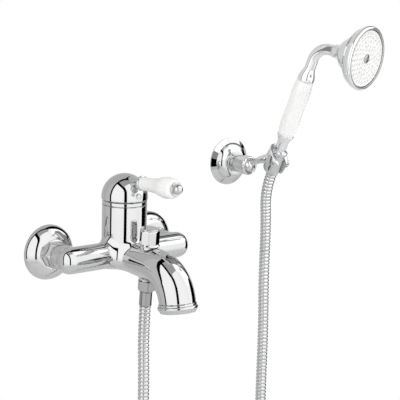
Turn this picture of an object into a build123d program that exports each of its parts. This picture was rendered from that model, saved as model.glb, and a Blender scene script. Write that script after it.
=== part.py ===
from build123d import *
import os
from math import acos, atan2, ceil, cos, degrees, pi, radians, sin, sqrt, tan

os.makedirs("parts", exist_ok=True)

# Wall mounted bath mixer with a porcelain lever, a diverter and a hand shower on a wall bracket.
# Millimetres. The wall is the plane y = 0 and the mixer stands out along -Y. +Z is up.
# The origin lies on the wall, midway between the two inlets, at the height of the mixer's arms.

# Fits
thread_gap = 0.08
running_gap = 0.05
loose_gap = 0.2
seat_gap = 0.3

# Inlets
inlet_spacing = 150.0
stand_off = 55.0
union_offset = 6.0
union_bore_r = 7.0
wall_thread_r = 10.48
wall_thread_length = 20.0
union_thread_r = 13.2
union_front = 22.2
union_neck_r = 12.0
washer_thick = 1.8
flange_r = 13.0
flange_thick = 2.4
nipple_neck_r = 11.2
nipple_thread_r = 10.4
nipple_thread_length = 10.0
lip_thick = 1.9
collar_thick = 1.7
coupling_nut_flats = 30.0
coupling_nut_start = 13.0
rose_r = 34.0
rose_rim = 2.5
rose_depth = 17.0
rose_wall = 1.5
rose_mouth_gap = 0.6

# Cast body
arm_r = 16.0
arm_overrun = 3.5
arm_bore_r = 8.5
boss_r = 15.5
barrel_r = 27.4
barrel_top = 60.8
barrel_bottom = -14.0
barrel_round = 10.0
arm_blend = 9.0
neck_blend = 7.0
chamber_floor = 14.0
spout_root_r = 18.2
spout_end_r = 22.0
spout_wall = 4.0
spout_root_drop = 1.5
spout_slope = 2.0
spout_straight = 65.1
spout_bend_r = 43.2
spout_turn = 79.0
spout_full_share = 0.8

# Cartridge and its nut
cartridge_r = 17.5
cartridge_collar_r = 14.0
cartridge_height = 30.0
cartridge_collar_height = 6.0
nut_thread_r = 21.4
nut_height = 5.8
nut_hex_flats = 34.0
nut_hex_height = 5.0
rotor_r = 11.5
rotor_height = 10.0
pivot_drop = 4.0
pin_r = 1.5
pin_length = 21.0
stem_size = 7.8
stem_top = 81.0
stem_tail = 6.5

# Ring and cap
ring_height = 5.8
ring_bore_r = 22.0
ring_spigot = 7.8
ring_chamfer = 1.2
cap_gap = 0.8
cap_r = 28.3
cap_wall = 2.0
cap_skirt = 2.6
hub_r = 8.0
plug_r = 4.0
plug_rise = 4.0
grub_r = 2.5

# Lever
lever_height = 89.2
lever_tilt = 3.2
stud_r = 3.5
stalk_root_r = 6.6
stalk_rim_r = 9.2
stalk_rim = 33.0
stalk_end = 36.5
rod_r = 2.5
porcelain_neck_r = 7.8
porcelain_belly_r = 12.7
porcelain_belly = 87.0
porcelain_end = 98.0
porcelain_end_r = 8.8
button_base_r = 8.3
button_base = 2.4
button_ball_r = 6.2
button_ball = 102.2

# Diverter and hose branch, on one axis square to the spout
branch_y = 103.2
branch_tilt = 4.2
branch_top = 21.5
branch_boss_r = 11.0
branch_bore_r = 8.0
bonnet_thread = 10.0
spindle_r = 3.0
knob_foot_r = 12.8
knob_corner_r = 12.2
knob_sides = 8
knob_foot = 2.2
knob_height = 21.4
knob_rim = 4.0
knob_rim_r = 11.0
diverter_travel = 9.0
valve_r = 6.6
hose_boss_r = 9.8
hose_boss_end = 21.6
hose_thread_r = 8.2
hose_nut_flats = 19.6
hose_nut_length = 13.4
hose_nut_hex = 11.4
ferrule_r = 7.7
ferrule_length = 18.0

# Outlet
outlet_band_r = 22.9
outlet_band = 2.5
outlet_bead_r = 24.15
outlet_bead = 6.5
outlet_height = 11.0
outlet_foot_r = 20.8
outlet_spigot = 9.0
aerator_r = 15.0
aerator_height = 8.0
aerator_recess = 1.2
aerator_hole_r = 1.1

# Wall bracket
bracket_x = 210.6
bracket_z = 86.0
plate_r = 24.0
plate_thick = 3.0
plate_screw_spacing = 34.0
plate_screw_r = 2.25
plate_boss_r = 8.0
plate_boss = 14.0
bracket_rose_r = 31.0
bracket_bevel_r = 25.0
bracket_bevel = 6.0
bracket_rose_depth = 16.0
stem_r = 11.5
stem_end = 34.0
stem_thread_r = 10.2
ball_r = 8.6
ball_y = 41.0
seat_wall = 0.6
ring_nut_r = 12.4
ring_nut_lip = 2.8
ring_nut_mouth_r = 8.2
holder_arm_angle = 32.0
holder_arm_neck_r = 3.6
holder_arm_middle_r = 4.9
holder_arm_root_r = 6.5

# Handle axis of the hand shower, from the foot of its cone nut
handle_x = 225.0
handle_foot_y = 69.4
handle_foot_z = 78.7
handle_tilt = 21.7
handle_turn = 8.5

# Holder cup
clamp_height = 14.0
cup_foot = 2.5
cup_front = 20.0
cup_back = 37.0
cup_foot_r = 10.6
cup_belly_r = 14.2
cup_top_r = 13.2
cup_slot = 15.0
cup_arm_height = 18.0
clamp_screw_r = 2.5
knob_r = 7.2
knob_thick = 6.0
knob_reach = 15.0

# Cone nut and handle, along the handle axis
cone_foot_r = 8.0
cone_top_r = 8.8
cone_length = 27.0
ridge_r = 10.8
ridge = 33.0
cone_end = 34.5
cone_bore_r = 5.8
seat_r = 7.9
seat_floor = 21.8
hose_flange = 2.2
seal_thick = 1.8
socket_waist_r = 6.5
socket_waist_end = 37.5
socket_r = 7.2
socket_rim_r = 10.9
socket_end = 57.6
waterway_r = 4.0
inner_tube_r = 5.0
handle_length = 77.6
handle_foot_r = 10.6
handle_belly_r = 11.6
handle_top_r = 11.0
tube_r = 7.0
neck_foot_r = 10.7
neck_taper = 17.5

# Elbow and head
elbow_along = 182.0
elbow_angle = 75.3
head_turn = 4.8
elbow_r = 24.0
head_joint = 23.0
head_length = 73.5
head_r = 40.0
head_neck_r = 8.3
head_rim = 14.0
plate_seat_inset = 4.2
spray_thick = 2.5
spray_recess = 1.5
spray_hole_r = 0.9
spray_rings = ((0.265, 9), (0.419, 15), (0.573, 20), (0.726, 25), (0.866, 30))
spray_boss_r = 6.0

# Hose, with its real length and a route chosen by hand
hose_r = 7.0
hose_bore_r = 4.5
hose_root_r = 6.3
hose_length = 1250.0
rib_pitch = 12.0
tail_r = 4.4
tail_length = 12.0
hose_first_run = 40.0
hose_lower_points = [
    (0.5, -98.8, -150.0),
    (2.5, -95.0, -265.0),
    (-2.5, -89.0, -380.0),
    (6.0, -82.0, -474.0),
    (54.0, -74.0, -539.0),
    (124.0, -67.0, -552.0),
    (193.0, -60.5, -530.0),
    (230.5, -55.5, -463.0),
    (238.5, -53.0, -362.0),
    (233.5, -52.0, -250.0),
    (235.5, -51.5, -135.0),
    (232.8, -51.8, -62.0),
]
hose_upper_points = [(233.4, -52.5, 8.0)]
hose_split_share = 0.5
hose_top_run = 26.0

# Values worked out from the sizes above
inlet_x = inlet_spacing / 2
arm_end = inlet_x + arm_overrun
axis_y = -stand_off
washer_front = union_front + washer_thick
flange_front = washer_front + flange_thick
lip_front = flange_front + lip_thick
collar_front = lip_front + collar_thick
cartridge_top = chamber_floor + cartridge_height
collar_top = cartridge_top + cartridge_collar_height
pivot_height = collar_top - pivot_drop
ring_top = barrel_top + ring_height
cap_foot = ring_top + cap_gap
cap_centre = cap_foot + cap_skirt
hub_foot = cap_centre
spout_start_z = -spout_root_drop
slope = radians(spout_slope)
turn = radians(spout_turn)
spout_bend_y = axis_y - spout_straight * cos(slope)
spout_bend_z = spout_start_z - spout_straight * sin(slope)
spout_length = spout_straight + spout_bend_r * turn
branch_z = spout_start_z - (branch_y - stand_off) * tan(slope)
lean = radians(handle_tilt)
outward = Vector(sin(radians(handle_turn)), -cos(radians(handle_turn)), 0)
sideways = Vector(cos(radians(handle_turn)), sin(radians(handle_turn)), 0)
handle_foot = Vector(handle_x, -handle_foot_y, handle_foot_z)
handle_dir = outward * sin(lean) + Vector(0, 0, cos(lean))
forward = outward * cos(lean) - Vector(0, 0, sin(lean))
porcelain_top = socket_end + handle_length
plate_seat_r = head_r - plate_seat_inset


# A plane for turned parts: X runs outward from the turning axis and Y runs along it.
def side(origin, along, outward=(1, 0, 0)):
    along = Vector(*along).normalized()
    outward = Vector(*outward).normalized()
    return Plane(origin=origin, x_dir=outward, z_dir=outward.cross(along))


def axis_of(plane):
    return Axis(plane.origin, plane.y_dir)


# A closed flat outline of straight edges, drawn as (radius, distance along).
def outline(plane, *points):
    with BuildSketch(plane) as sketch:
        with BuildLine():
            Polyline(*points, close=True)
        make_face()
    return sketch.sketch


# A flat face square to the turning axis at some distance along it.
def across(plane, along):
    return Plane(
        origin=plane.from_local_coords((0, along, 0)),
        x_dir=plane.x_dir,
        z_dir=plane.y_dir,
    )


def regular(plane, flats, sides):
    with BuildSketch(plane) as sketch:
        RegularPolygon(flats / 2, sides, major_radius=False)
    return sketch.sketch


def disc(plane, radius):
    with BuildSketch(plane) as sketch:
        Circle(radius)
    return sketch.sketch


def save(piece, name):
    piece.part.label = name
    export_step(piece.part, f"parts/{name}.step")
    print(name, round(piece.part.volume))


# Spout centreline: a straight neck, then one bend down to the outlet.
def spout_at(length):
    if length <= spout_straight:
        return (
            Vector(0, axis_y - length * cos(slope), spout_start_z - length * sin(slope)),
            Vector(0, -cos(slope), -sin(slope)),
        )
    angle = slope + (length - spout_straight) / spout_bend_r
    point = Vector(
        0,
        spout_bend_y - spout_bend_r * (sin(angle) - sin(slope)),
        spout_bend_z - spout_bend_r * (cos(slope) - cos(angle)),
    )
    return point, Vector(0, -cos(angle), -sin(angle))


def spout_radius(length):
    share = min(1.0, length / (spout_full_share * spout_length))
    return spout_root_r + (spout_end_r - spout_root_r) * share


def spout_section(length, radius):
    point, along = spout_at(length)
    return disc(Plane(origin=point, x_dir=(1, 0, 0), z_dir=along), radius)


spout_stations = [spout_straight / 2] + [
    spout_straight + spout_bend_r * turn * step / 5 for step in range(6)
]
outlet_point, outlet_dir = spout_at(spout_length)
branch_dir = Vector(0, -sin(radians(branch_tilt)), cos(radians(branch_tilt)))
branch = side((0, -branch_y, branch_z), branch_dir)
outlet = side(outlet_point, outlet_dir)
barrel = side((0, axis_y, 0), (0, 0, 1))
lever = side(
    (0, axis_y, lever_height),
    (0, -cos(radians(lever_tilt)), sin(radians(lever_tilt))),
)
handle = side(handle_foot, handle_dir, forward)
faced = forward * cos(radians(head_turn)) + sideways * sin(radians(head_turn))
neck = side(handle_foot, handle_dir, faced)
bracket = side((bracket_x, 0, bracket_z), (0, -1, 0))

# Cast body: barrel, two arms with round ends, wall bosses and the spout
with BuildPart() as mixer_body:
    revolve(
        outline(
            barrel,
            (0, barrel_bottom),
            (barrel_r, barrel_bottom),
            (barrel_r, barrel_top),
            (0, barrel_top),
        ),
        axis=axis_of(barrel),
    )
    foot_edge = mixer_body.edges().filter_by(GeomType.CIRCLE).group_by(Axis.Z)[0]
    fillet(foot_edge, barrel_round)
    with BuildSketch(Plane.YZ.offset(-arm_end)):
        with Locations((axis_y, 0)):
            Circle(arm_r)
    extrude(amount=2 * arm_end)
    arm_edges = [e for e in mixer_body.edges() if e.geom_type not in (GeomType.CIRCLE, GeomType.LINE)]
    fillet(arm_edges, arm_blend)
    loft([spout_section(s, spout_radius(s)) for s in (0, spout_straight)], ruled=True)
    neck_edges = mixer_body.faces().filter_by(GeomType.CONE).edges()
    neck_edges = [e for e in neck_edges if e.geom_type not in (GeomType.CIRCLE, GeomType.LINE)]
    fillet(neck_edges, neck_blend)
    loft([spout_section(s, spout_radius(s)) for s in spout_stations[1:]])
    with Locations((-arm_end, axis_y, 0), (arm_end, axis_y, 0)):
        Sphere(arm_r)
    with BuildSketch(Plane.XZ.offset(collar_front)):
        with Locations((-inlet_x, 0), (inlet_x, 0)):
            Circle(boss_r)
    extrude(amount=stand_off - collar_front)
    extrude(disc(across(branch, 0), branch_boss_r), amount=branch_top)
    extrude(disc(across(branch, 0), hose_boss_r), amount=-hose_boss_end)
    # Cartridge chamber
    revolve(
        outline(
            barrel,
            (0, chamber_floor),
            (cartridge_r + thread_gap, chamber_floor),
            (cartridge_r + thread_gap, cartridge_top),
            (nut_thread_r + thread_gap, cartridge_top),
            (nut_thread_r + thread_gap, cartridge_top + nut_height + 1),
            (ring_bore_r + 1.5, cartridge_top + nut_height + 1),
            (ring_bore_r + 1.5, barrel_top),
            (0, barrel_top),
        ),
        axis=axis_of(barrel),
        mode=Mode.SUBTRACT,
    )
    # Waterways: arms, inlet threads, ports to the cartridge and the spout bore
    for way in (-1, 1):
        with BuildSketch(Plane.YZ.offset(way * cartridge_r / 2)):
            with Locations((axis_y, 0)):
                Circle(arm_bore_r)
        extrude(amount=way * (inlet_x - cartridge_r / 2), mode=Mode.SUBTRACT)
        with BuildSketch(Plane.XZ.offset(collar_front)):
            with Locations((way * inlet_x, 0)):
                Circle(nipple_thread_r + thread_gap)
        extrude(amount=nipple_thread_length + 1, mode=Mode.SUBTRACT)
        with BuildSketch(Plane.XZ.offset(collar_front)):
            with Locations((way * inlet_x, 0)):
                Circle(arm_bore_r)
        extrude(amount=stand_off - collar_front, mode=Mode.SUBTRACT)
        with BuildSketch(Plane.XY):
            with Locations((way * cartridge_r / 1.7, axis_y)):
                Circle(arm_bore_r / 2)
        extrude(amount=chamber_floor, mode=Mode.SUBTRACT)
    loft(
        [spout_section(s, spout_radius(s) - spout_wall) for s in spout_stations[:2]],
        ruled=True,
        mode=Mode.SUBTRACT,
    )
    loft(
        [spout_section(s, spout_radius(s) - spout_wall) for s in spout_stations[1:]],
        mode=Mode.SUBTRACT,
    )
    extrude(
        disc(across(outlet, 0), spout_end_r - spout_wall),
        amount=-outlet_spigot - loose_gap,
        mode=Mode.SUBTRACT,
    )
    port_top, _ = spout_at(spout_straight / 2)
    with BuildSketch(Plane.XY.offset(chamber_floor)):
        with Locations((0, axis_y - cartridge_r / 1.7)):
            Circle(arm_bore_r / 2)
    extrude(amount=-chamber_floor - 4, mode=Mode.SUBTRACT)
    with BuildSketch(Plane.XZ.offset(stand_off + cartridge_r / 1.7)):
        with Locations((0, -4)):
            Circle(arm_bore_r / 2)
    extrude(amount=-port_top.Y - stand_off - cartridge_r / 1.7 + 4, mode=Mode.SUBTRACT)
    extrude(disc(across(branch, 0), branch_bore_r), amount=branch_top, mode=Mode.SUBTRACT)
    extrude(
        disc(across(branch, 0), hose_thread_r + thread_gap),
        amount=-hose_boss_end,
        mode=Mode.SUBTRACT,
    )
save(mixer_body, "mixer_body")

# Wall unions, roses, nuts, nipples and filter washers, one set at each inlet
for word, way in (("left", -1), ("right", 1)):
    inlet = side((way * inlet_x, 0, 0), (0, -1, 0))
    stud = side((way * inlet_x, 0, -union_offset), (0, -1, 0))

    with BuildPart() as union_piece:
        bend_start = 1.0
        bend_end = union_front - 13.0
        extrude(
            disc(across(stud, -wall_thread_length), wall_thread_r),
            amount=wall_thread_length + bend_start,
        )
        loft(
            [disc(across(stud, bend_start), union_neck_r), disc(across(inlet, bend_end), union_neck_r)],
        )
        extrude(disc(across(inlet, bend_end), union_thread_r), amount=union_front - bend_end)
        extrude(
            disc(across(stud, -wall_thread_length), union_bore_r),
            amount=wall_thread_length + bend_start,
            mode=Mode.SUBTRACT,
        )
        loft(
            [disc(across(stud, bend_start), union_bore_r), disc(across(inlet, bend_end), union_bore_r)],
            mode=Mode.SUBTRACT,
        )
        extrude(
            disc(across(inlet, bend_end), union_bore_r),
            amount=union_front - bend_end,
            mode=Mode.SUBTRACT,
        )
    save(union_piece, f"{word}_union")

    mouth_r = coupling_nut_flats / sqrt(3) + rose_mouth_gap
    with BuildPart() as wall_rose:
        with BuildSketch(inlet):
            with BuildLine():
                Line((rose_r - rose_wall, 0), (rose_r, 0))
                Line((rose_r, 0), (rose_r, rose_rim))
                ThreePointArc(
                    (rose_r, rose_rim),
                    (rose_r - 4.2, rose_depth * 0.66),
                    (mouth_r, rose_depth),
                )
                Line((mouth_r, rose_depth), (mouth_r, rose_depth - rose_wall))
                ThreePointArc(
                    (mouth_r, rose_depth - rose_wall),
                    (rose_r - 4.2 - rose_wall, rose_depth * 0.66 - rose_wall),
                    (rose_r - rose_wall, rose_rim),
                )
                Line((rose_r - rose_wall, rose_rim), (rose_r - rose_wall, 0))
            make_face()
        revolve(axis=axis_of(inlet))
    save(wall_rose, f"{word}_rose")

    with BuildPart() as washer:
        revolve(
            outline(
                inlet,
                (union_bore_r, union_front),
                (flange_r - 0.1, union_front),
                (flange_r - 0.1, washer_front),
                (union_bore_r, washer_front),
            ),
            axis=axis_of(inlet),
        )
    save(washer, f"{word}_washer")

    with BuildPart() as nipple:
        revolve(
            outline(
                inlet,
                (union_bore_r, washer_front),
                (flange_r, washer_front),
                (flange_r, flange_front),
                (nipple_neck_r, flange_front),
                (nipple_neck_r, lip_front),
                (boss_r + 0.4, lip_front),
                (boss_r + 0.4, collar_front),
                (nipple_thread_r, collar_front),
                (nipple_thread_r, collar_front + nipple_thread_length),
                (union_bore_r, collar_front + nipple_thread_length),
            ),
            axis=axis_of(inlet),
        )
    save(nipple, f"{word}_nipple")

    with BuildPart() as coupling_nut:
        extrude(
            regular(across(inlet, coupling_nut_start), coupling_nut_flats, 6),
            amount=lip_front - loose_gap - coupling_nut_start,
        )
        corner_r = coupling_nut_flats / sqrt(3)
        revolve(
            outline(
                inlet,
                (0, coupling_nut_start),
                (corner_r - 1.6, coupling_nut_start),
                (corner_r, coupling_nut_start + 1.2),
                (corner_r, lip_front - loose_gap - 1.2),
                (corner_r - 1.6, lip_front - loose_gap),
                (0, lip_front - loose_gap),
            ),
            axis=axis_of(inlet),
            mode=Mode.INTERSECT,
        )
        extrude(
            disc(across(inlet, coupling_nut_start), union_thread_r + thread_gap),
            amount=flange_front + thread_gap - coupling_nut_start,
            mode=Mode.SUBTRACT,
        )
        extrude(
            disc(across(inlet, coupling_nut_start), nipple_neck_r + thread_gap),
            amount=lip_front - coupling_nut_start,
            mode=Mode.SUBTRACT,
        )
    save(coupling_nut, f"{word}_nut")

# Cartridge housing with a recess for its turning part
with BuildPart() as cartridge:
    revolve(
        outline(
            barrel,
            (0, chamber_floor),
            (cartridge_r, chamber_floor),
            (cartridge_r, cartridge_top),
            (cartridge_collar_r, cartridge_top),
            (cartridge_collar_r, collar_top),
            (rotor_r + running_gap, collar_top),
            (rotor_r + running_gap, collar_top - rotor_height),
            (rotor_r - 2, collar_top - rotor_height),
            (rotor_r - 2, pivot_height - stem_tail - 3),
            (0, pivot_height - stem_tail - 3),
        ),
        axis=axis_of(barrel),
    )
save(cartridge, "cartridge")

with BuildPart() as cartridge_nut:
    extrude(disc(across(barrel, cartridge_top + thread_gap), nut_thread_r), amount=nut_height)
    extrude(
        regular(across(barrel, cartridge_top + thread_gap + nut_height), nut_hex_flats, 6),
        amount=nut_hex_height,
    )
    extrude(
        disc(across(barrel, cartridge_top), cartridge_collar_r + thread_gap),
        amount=nut_height + nut_hex_height + 1,
        mode=Mode.SUBTRACT,
    )
save(cartridge_nut, "cartridge_nut")

# Turning part of the cartridge: a slot lets the stem swing about the pin
with BuildPart() as cartridge_rotor:
    extrude(disc(across(barrel, collar_top - rotor_height + running_gap), rotor_r), amount=rotor_height)
    with BuildSketch(Plane.XY.offset(collar_top - rotor_height)):
        with Locations((0, axis_y)):
            Rectangle(stem_size + 2 * running_gap, 1.7 * rotor_r)
    extrude(amount=rotor_height + 1, mode=Mode.SUBTRACT)
    with BuildSketch(Plane.YZ.offset(-rotor_r)):
        with Locations((axis_y, pivot_height)):
            Circle(pin_r)
    extrude(amount=2 * rotor_r, mode=Mode.SUBTRACT)
save(cartridge_rotor, "cartridge_rotor")

with BuildPart() as pivot_pin:
    with BuildSketch(Plane.YZ.offset(-pin_length / 2)):
        with Locations((axis_y, pivot_height)):
            Circle(pin_r)
    extrude(amount=pin_length)
save(pivot_pin, "pivot_pin")

with BuildPart() as cartridge_stem:
    with BuildSketch(Plane.XY.offset(pivot_height - stem_tail)):
        with Locations((0, axis_y)):
            Rectangle(stem_size, stem_size)
    extrude(amount=stem_top - pivot_height + stem_tail)
    chamfer(cartridge_stem.faces().sort_by(Axis.Z)[-1].edges(), 0.8)
    with BuildSketch(Plane.YZ.offset(-stem_size)):
        with Locations((axis_y, pivot_height)):
            Circle(pin_r + running_gap)
    extrude(amount=2 * stem_size, mode=Mode.SUBTRACT)
save(cartridge_stem, "cartridge_stem")

# Ring between barrel and cap
with BuildPart() as trim_ring:
    revolve(
        outline(
            barrel,
            (ring_bore_r, barrel_top - ring_spigot),
            (ring_bore_r + 1.5 - thread_gap, barrel_top - ring_spigot),
            (ring_bore_r + 1.5 - thread_gap, barrel_top),
            (barrel_r - 0.4, barrel_top),
            (barrel_r, barrel_top + 0.4),
            (barrel_r, ring_top - ring_chamfer),
            (barrel_r - ring_chamfer, ring_top),
            (ring_bore_r, ring_top),
        ),
        axis=axis_of(barrel),
    )
save(trim_ring, "trim_ring")

# Domed cap with a hub for the stem, which lifts and turns with the lever
plug_along = cap_centre + plug_rise
with BuildPart() as dome_cap:
    with BuildSketch(barrel):
        with BuildLine():
            Line((0, cap_foot), (cap_r, cap_foot))
            Line((cap_r, cap_foot), (cap_r, cap_centre))
            CenterArc((0, cap_centre), cap_r, 0, 90)
            Line((0, cap_centre + cap_r), (0, cap_foot))
        make_face()
    revolve(axis=axis_of(barrel))
    with BuildSketch(barrel):
        with BuildLine():
            Line((0, cap_foot), (cap_r - cap_wall, cap_foot))
            Line((cap_r - cap_wall, cap_foot), (cap_r - cap_wall, cap_centre))
            CenterArc((0, cap_centre), cap_r - cap_wall, 0, 90)
            Line((0, cap_centre + cap_r - cap_wall), (0, cap_foot))
        make_face()
    revolve(axis=axis_of(barrel), mode=Mode.SUBTRACT)
    extrude(disc(across(barrel, hub_foot), hub_r), amount=cap_r - cap_wall - 0.3)
    with BuildSketch(Plane.XY.offset(hub_foot)):
        with Locations((0, axis_y)):
            Rectangle(stem_size + 2 * running_gap, stem_size + 2 * running_gap)
    extrude(amount=stem_top - hub_foot + loose_gap, mode=Mode.SUBTRACT)
    front = Plane(origin=(0, axis_y, plug_along), x_dir=(1, 0, 0), z_dir=(0, -1, 0))
    with BuildSketch(front.offset(hub_r + 2)):
        Circle(plug_r)
    extrude(amount=cap_r, mode=Mode.SUBTRACT)
    with BuildSketch(front):
        Circle(grub_r + thread_gap)
    extrude(amount=cap_r, mode=Mode.SUBTRACT)
    extrude(disc(across(lever, 0), stud_r + thread_gap), amount=cap_r, mode=Mode.SUBTRACT)
save(dome_cap, "dome_cap")

with BuildPart() as cap_grub_screw:
    with BuildSketch(front.offset(stem_size / 2 + running_gap)):
        Circle(grub_r)
    extrude(amount=7.0)
    with BuildSketch(front.offset(stem_size / 2 + 5)):
        RegularPolygon(1.25, 6, major_radius=False)
    extrude(amount=4.0, mode=Mode.SUBTRACT)
save(cap_grub_screw, "cap_grub_screw")

plug_seat = sqrt(cap_r**2 - (plug_rise + plug_r) ** 2) - 2.4
with BuildPart() as index_plug:
    with BuildSketch(front.offset(plug_seat)):
        Circle(plug_r - running_gap)
    extrude(amount=cap_r - plug_seat + 0.4)
    chamfer(index_plug.faces().sort_by(Axis.Y)[0].edges(), 0.6)
    with BuildSketch(front.offset(cap_r + 0.1)):
        Circle(plug_r - 1.3)
    extrude(amount=1, mode=Mode.SUBTRACT)
save(index_plug, "index_plug")

# Stalk: a trumpet that springs from the cap, with a stud into the hub
with BuildPart() as lever_stalk:
    with BuildSketch(lever):
        with BuildLine():
            Line((0, 4), (stalk_root_r, 4))
            Line((stalk_root_r, 4), (stalk_root_r, 22))
            Spline(
                (stalk_root_r, 22),
                (stalk_root_r + 0.5, 28),
                (stalk_rim_r, stalk_rim),
                tangents=((0, 1), (1, 0.9)),
            )
            Line((stalk_rim_r, stalk_rim), (stalk_rim_r, stalk_end - 0.8))
            Line((stalk_rim_r, stalk_end - 0.8), (stalk_rim_r - 0.8, stalk_end))
            Line((stalk_rim_r - 0.8, stalk_end), (0, stalk_end))
            Line((0, stalk_end), (0, 4))
        make_face()
    revolve(axis=axis_of(lever))
    with Locations((0, axis_y, cap_centre)):
        Sphere(cap_r + 0.02, mode=Mode.SUBTRACT)
    extrude(disc(across(lever, hub_r - 2), stud_r), amount=stalk_rim - hub_r + 2 - 6)
    extrude(disc(across(lever, stalk_rim - 8), rod_r + thread_gap), amount=12, mode=Mode.SUBTRACT)
save(lever_stalk, "lever_stalk")

# Porcelain lever, swelling towards a round end
with BuildPart() as lever_porcelain:
    with BuildSketch(lever):
        with BuildLine():
            Line((0, stalk_end), (porcelain_neck_r, stalk_end))
            Spline(
                (porcelain_neck_r, stalk_end),
                (porcelain_neck_r + 1.2, stalk_end + 25),
                (porcelain_belly_r, porcelain_belly),
                (porcelain_end_r + 1.2, porcelain_end - 1),
                (porcelain_end_r, porcelain_end),
                tangents=((0.02, 1), (-1, 0.35)),
            )
            Line((porcelain_end_r, porcelain_end), (0, porcelain_end))
            Line((0, porcelain_end), (0, stalk_end))
        make_face()
    revolve(axis=axis_of(lever))
    extrude(
        disc(across(lever, stalk_end - 1), rod_r + loose_gap),
        amount=porcelain_end - stalk_end + 2,
        mode=Mode.SUBTRACT,
    )
save(lever_porcelain, "lever_porcelain")

with BuildPart() as lever_rod:
    rod_start = stalk_rim - 7.5
    extrude(disc(across(lever, rod_start), rod_r), amount=button_ball - rod_start)
save(lever_rod, "lever_rod")

with BuildPart() as lever_button:
    revolve(
        outline(
            lever,
            (0, porcelain_end),
            (button_base_r - 0.5, porcelain_end),
            (button_base_r, porcelain_end + 0.6),
            (button_base_r, porcelain_end + button_base - 0.6),
            (button_base_r - 0.6, porcelain_end + button_base),
            (0, porcelain_end + button_base),
        ),
        axis=axis_of(lever),
    )
    with Locations(lever.from_local_coords((0, button_ball, 0))):
        Sphere(button_ball_r)
    extrude(disc(across(lever, porcelain_end - 3), 20), amount=3, mode=Mode.SUBTRACT)
    extrude(
        disc(across(lever, porcelain_end - 1), rod_r + thread_gap),
        amount=button_ball - porcelain_end + 1 + running_gap,
        mode=Mode.SUBTRACT,
    )
save(lever_button, "lever_button")

# Diverter: bonnet, spindle, valve and the eight sided pull knob
bonnet_foot = branch_top - bonnet_thread
with BuildPart() as diverter_bonnet:
    revolve(
        outline(
            branch,
            (spindle_r + running_gap, bonnet_foot),
            (branch_bore_r - thread_gap, bonnet_foot),
            (branch_bore_r - thread_gap, branch_top),
            (knob_corner_r - 3.6, branch_top),
            (knob_corner_r - 3.6, branch_top + 3),
            (spindle_r + running_gap, branch_top + 3),
        ),
        axis=axis_of(branch),
    )
save(diverter_bonnet, "diverter_bonnet")

knob_start = branch_top + seat_gap
knob_top = knob_start + knob_height
with BuildPart() as diverter_knob:
    with BuildSketch(across(branch, knob_start + knob_foot)):
        RegularPolygon(knob_corner_r, knob_sides)
    extrude(amount=knob_height - knob_foot)
    revolve(
        outline(
            branch,
            (0, knob_start),
            (knob_foot_r, knob_start),
            (knob_foot_r, knob_top - knob_rim),
            (knob_foot_r - 0.6, knob_top - knob_rim),
            (knob_rim_r, knob_top - knob_rim + 1.8),
            (knob_rim_r + 0.5, knob_top - 0.8),
            (knob_rim_r - 0.3, knob_top),
            (0, knob_top),
        ),
        axis=axis_of(branch),
        mode=Mode.INTERSECT,
    )
    revolve(
        outline(
            branch,
            (0, knob_start),
            (knob_foot_r, knob_start),
            (knob_foot_r, knob_start + 0.8),
            (knob_corner_r - 1.2, knob_start + knob_foot + 0.8),
            (0, knob_start + knob_foot + 0.8),
        ),
        axis=axis_of(branch),
    )
    extrude(
        disc(across(branch, knob_start - 1), knob_corner_r - 3),
        amount=6 + diverter_travel,
        mode=Mode.SUBTRACT,
    )
    extrude(disc(across(branch, knob_start), spindle_r), amount=knob_height - 3, mode=Mode.SUBTRACT)
save(diverter_knob, "diverter_knob")

valve_at = -2.0
with BuildPart() as diverter_spindle:
    extrude(disc(across(branch, valve_at - 3), spindle_r), amount=knob_top - 3.2 - valve_at + 3)
save(diverter_spindle, "diverter_spindle")

with BuildPart() as diverter_valve:
    revolve(
        outline(
            branch,
            (spindle_r, valve_at - 2.5),
            (valve_r, valve_at - 2.5),
            (valve_r + 1, valve_at - 1.5),
            (valve_r + 1, valve_at + 1.5),
            (valve_r, valve_at + 2.5),
            (spindle_r, valve_at + 2.5),
        ),
        axis=axis_of(branch),
    )
save(diverter_valve, "diverter_valve")

# Outlet ring, aerator and its seal
with BuildPart() as outlet_ring:
    with BuildSketch(outlet):
        with BuildLine():
            Polyline(
                (aerator_r + running_gap, -outlet_spigot),
                (spout_end_r - spout_wall - running_gap, -outlet_spigot),
                (spout_end_r - spout_wall - running_gap, 0),
                (outlet_band_r - 0.6, 0),
                (outlet_band_r, 0.7),
                (outlet_band_r, outlet_band - 0.5),
                (outlet_band_r - 0.4, outlet_band),
            )
            ThreePointArc(
                (outlet_band_r - 0.4, outlet_band),
                (outlet_bead_r, (outlet_band + outlet_bead) / 2 - 0.4),
                (outlet_bead_r - 0.5, outlet_bead),
            )
            Line((outlet_bead_r - 0.5, outlet_bead), (outlet_foot_r, outlet_height))
            Line((outlet_foot_r, outlet_height), (aerator_r + 1.5, outlet_height))
            Line((aerator_r + 1.5, outlet_height), (aerator_r + 1.5, outlet_height - aerator_recess))
            Line(
                (aerator_r + 1.5, outlet_height - aerator_recess),
                (aerator_r + running_gap, outlet_height - aerator_recess),
            )
            Line(
                (aerator_r + running_gap, outlet_height - aerator_recess),
                (aerator_r + running_gap, -outlet_spigot),
            )
        make_face()
    revolve(axis=axis_of(outlet))
save(outlet_ring, "outlet_ring")

aerator_front = outlet_height - aerator_recess
with BuildPart() as aerator:
    extrude(disc(across(outlet, aerator_front - aerator_height), aerator_r), amount=aerator_height)
    with BuildSketch(across(outlet, aerator_front - aerator_height)):
        with Locations((0, 0)):
            Circle(aerator_hole_r)
        with PolarLocations(5.0, 8):
            Circle(aerator_hole_r)
        with PolarLocations(9.5, 16):
            Circle(aerator_hole_r)
    extrude(amount=aerator_height, mode=Mode.SUBTRACT)
save(aerator, "aerator")

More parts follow.
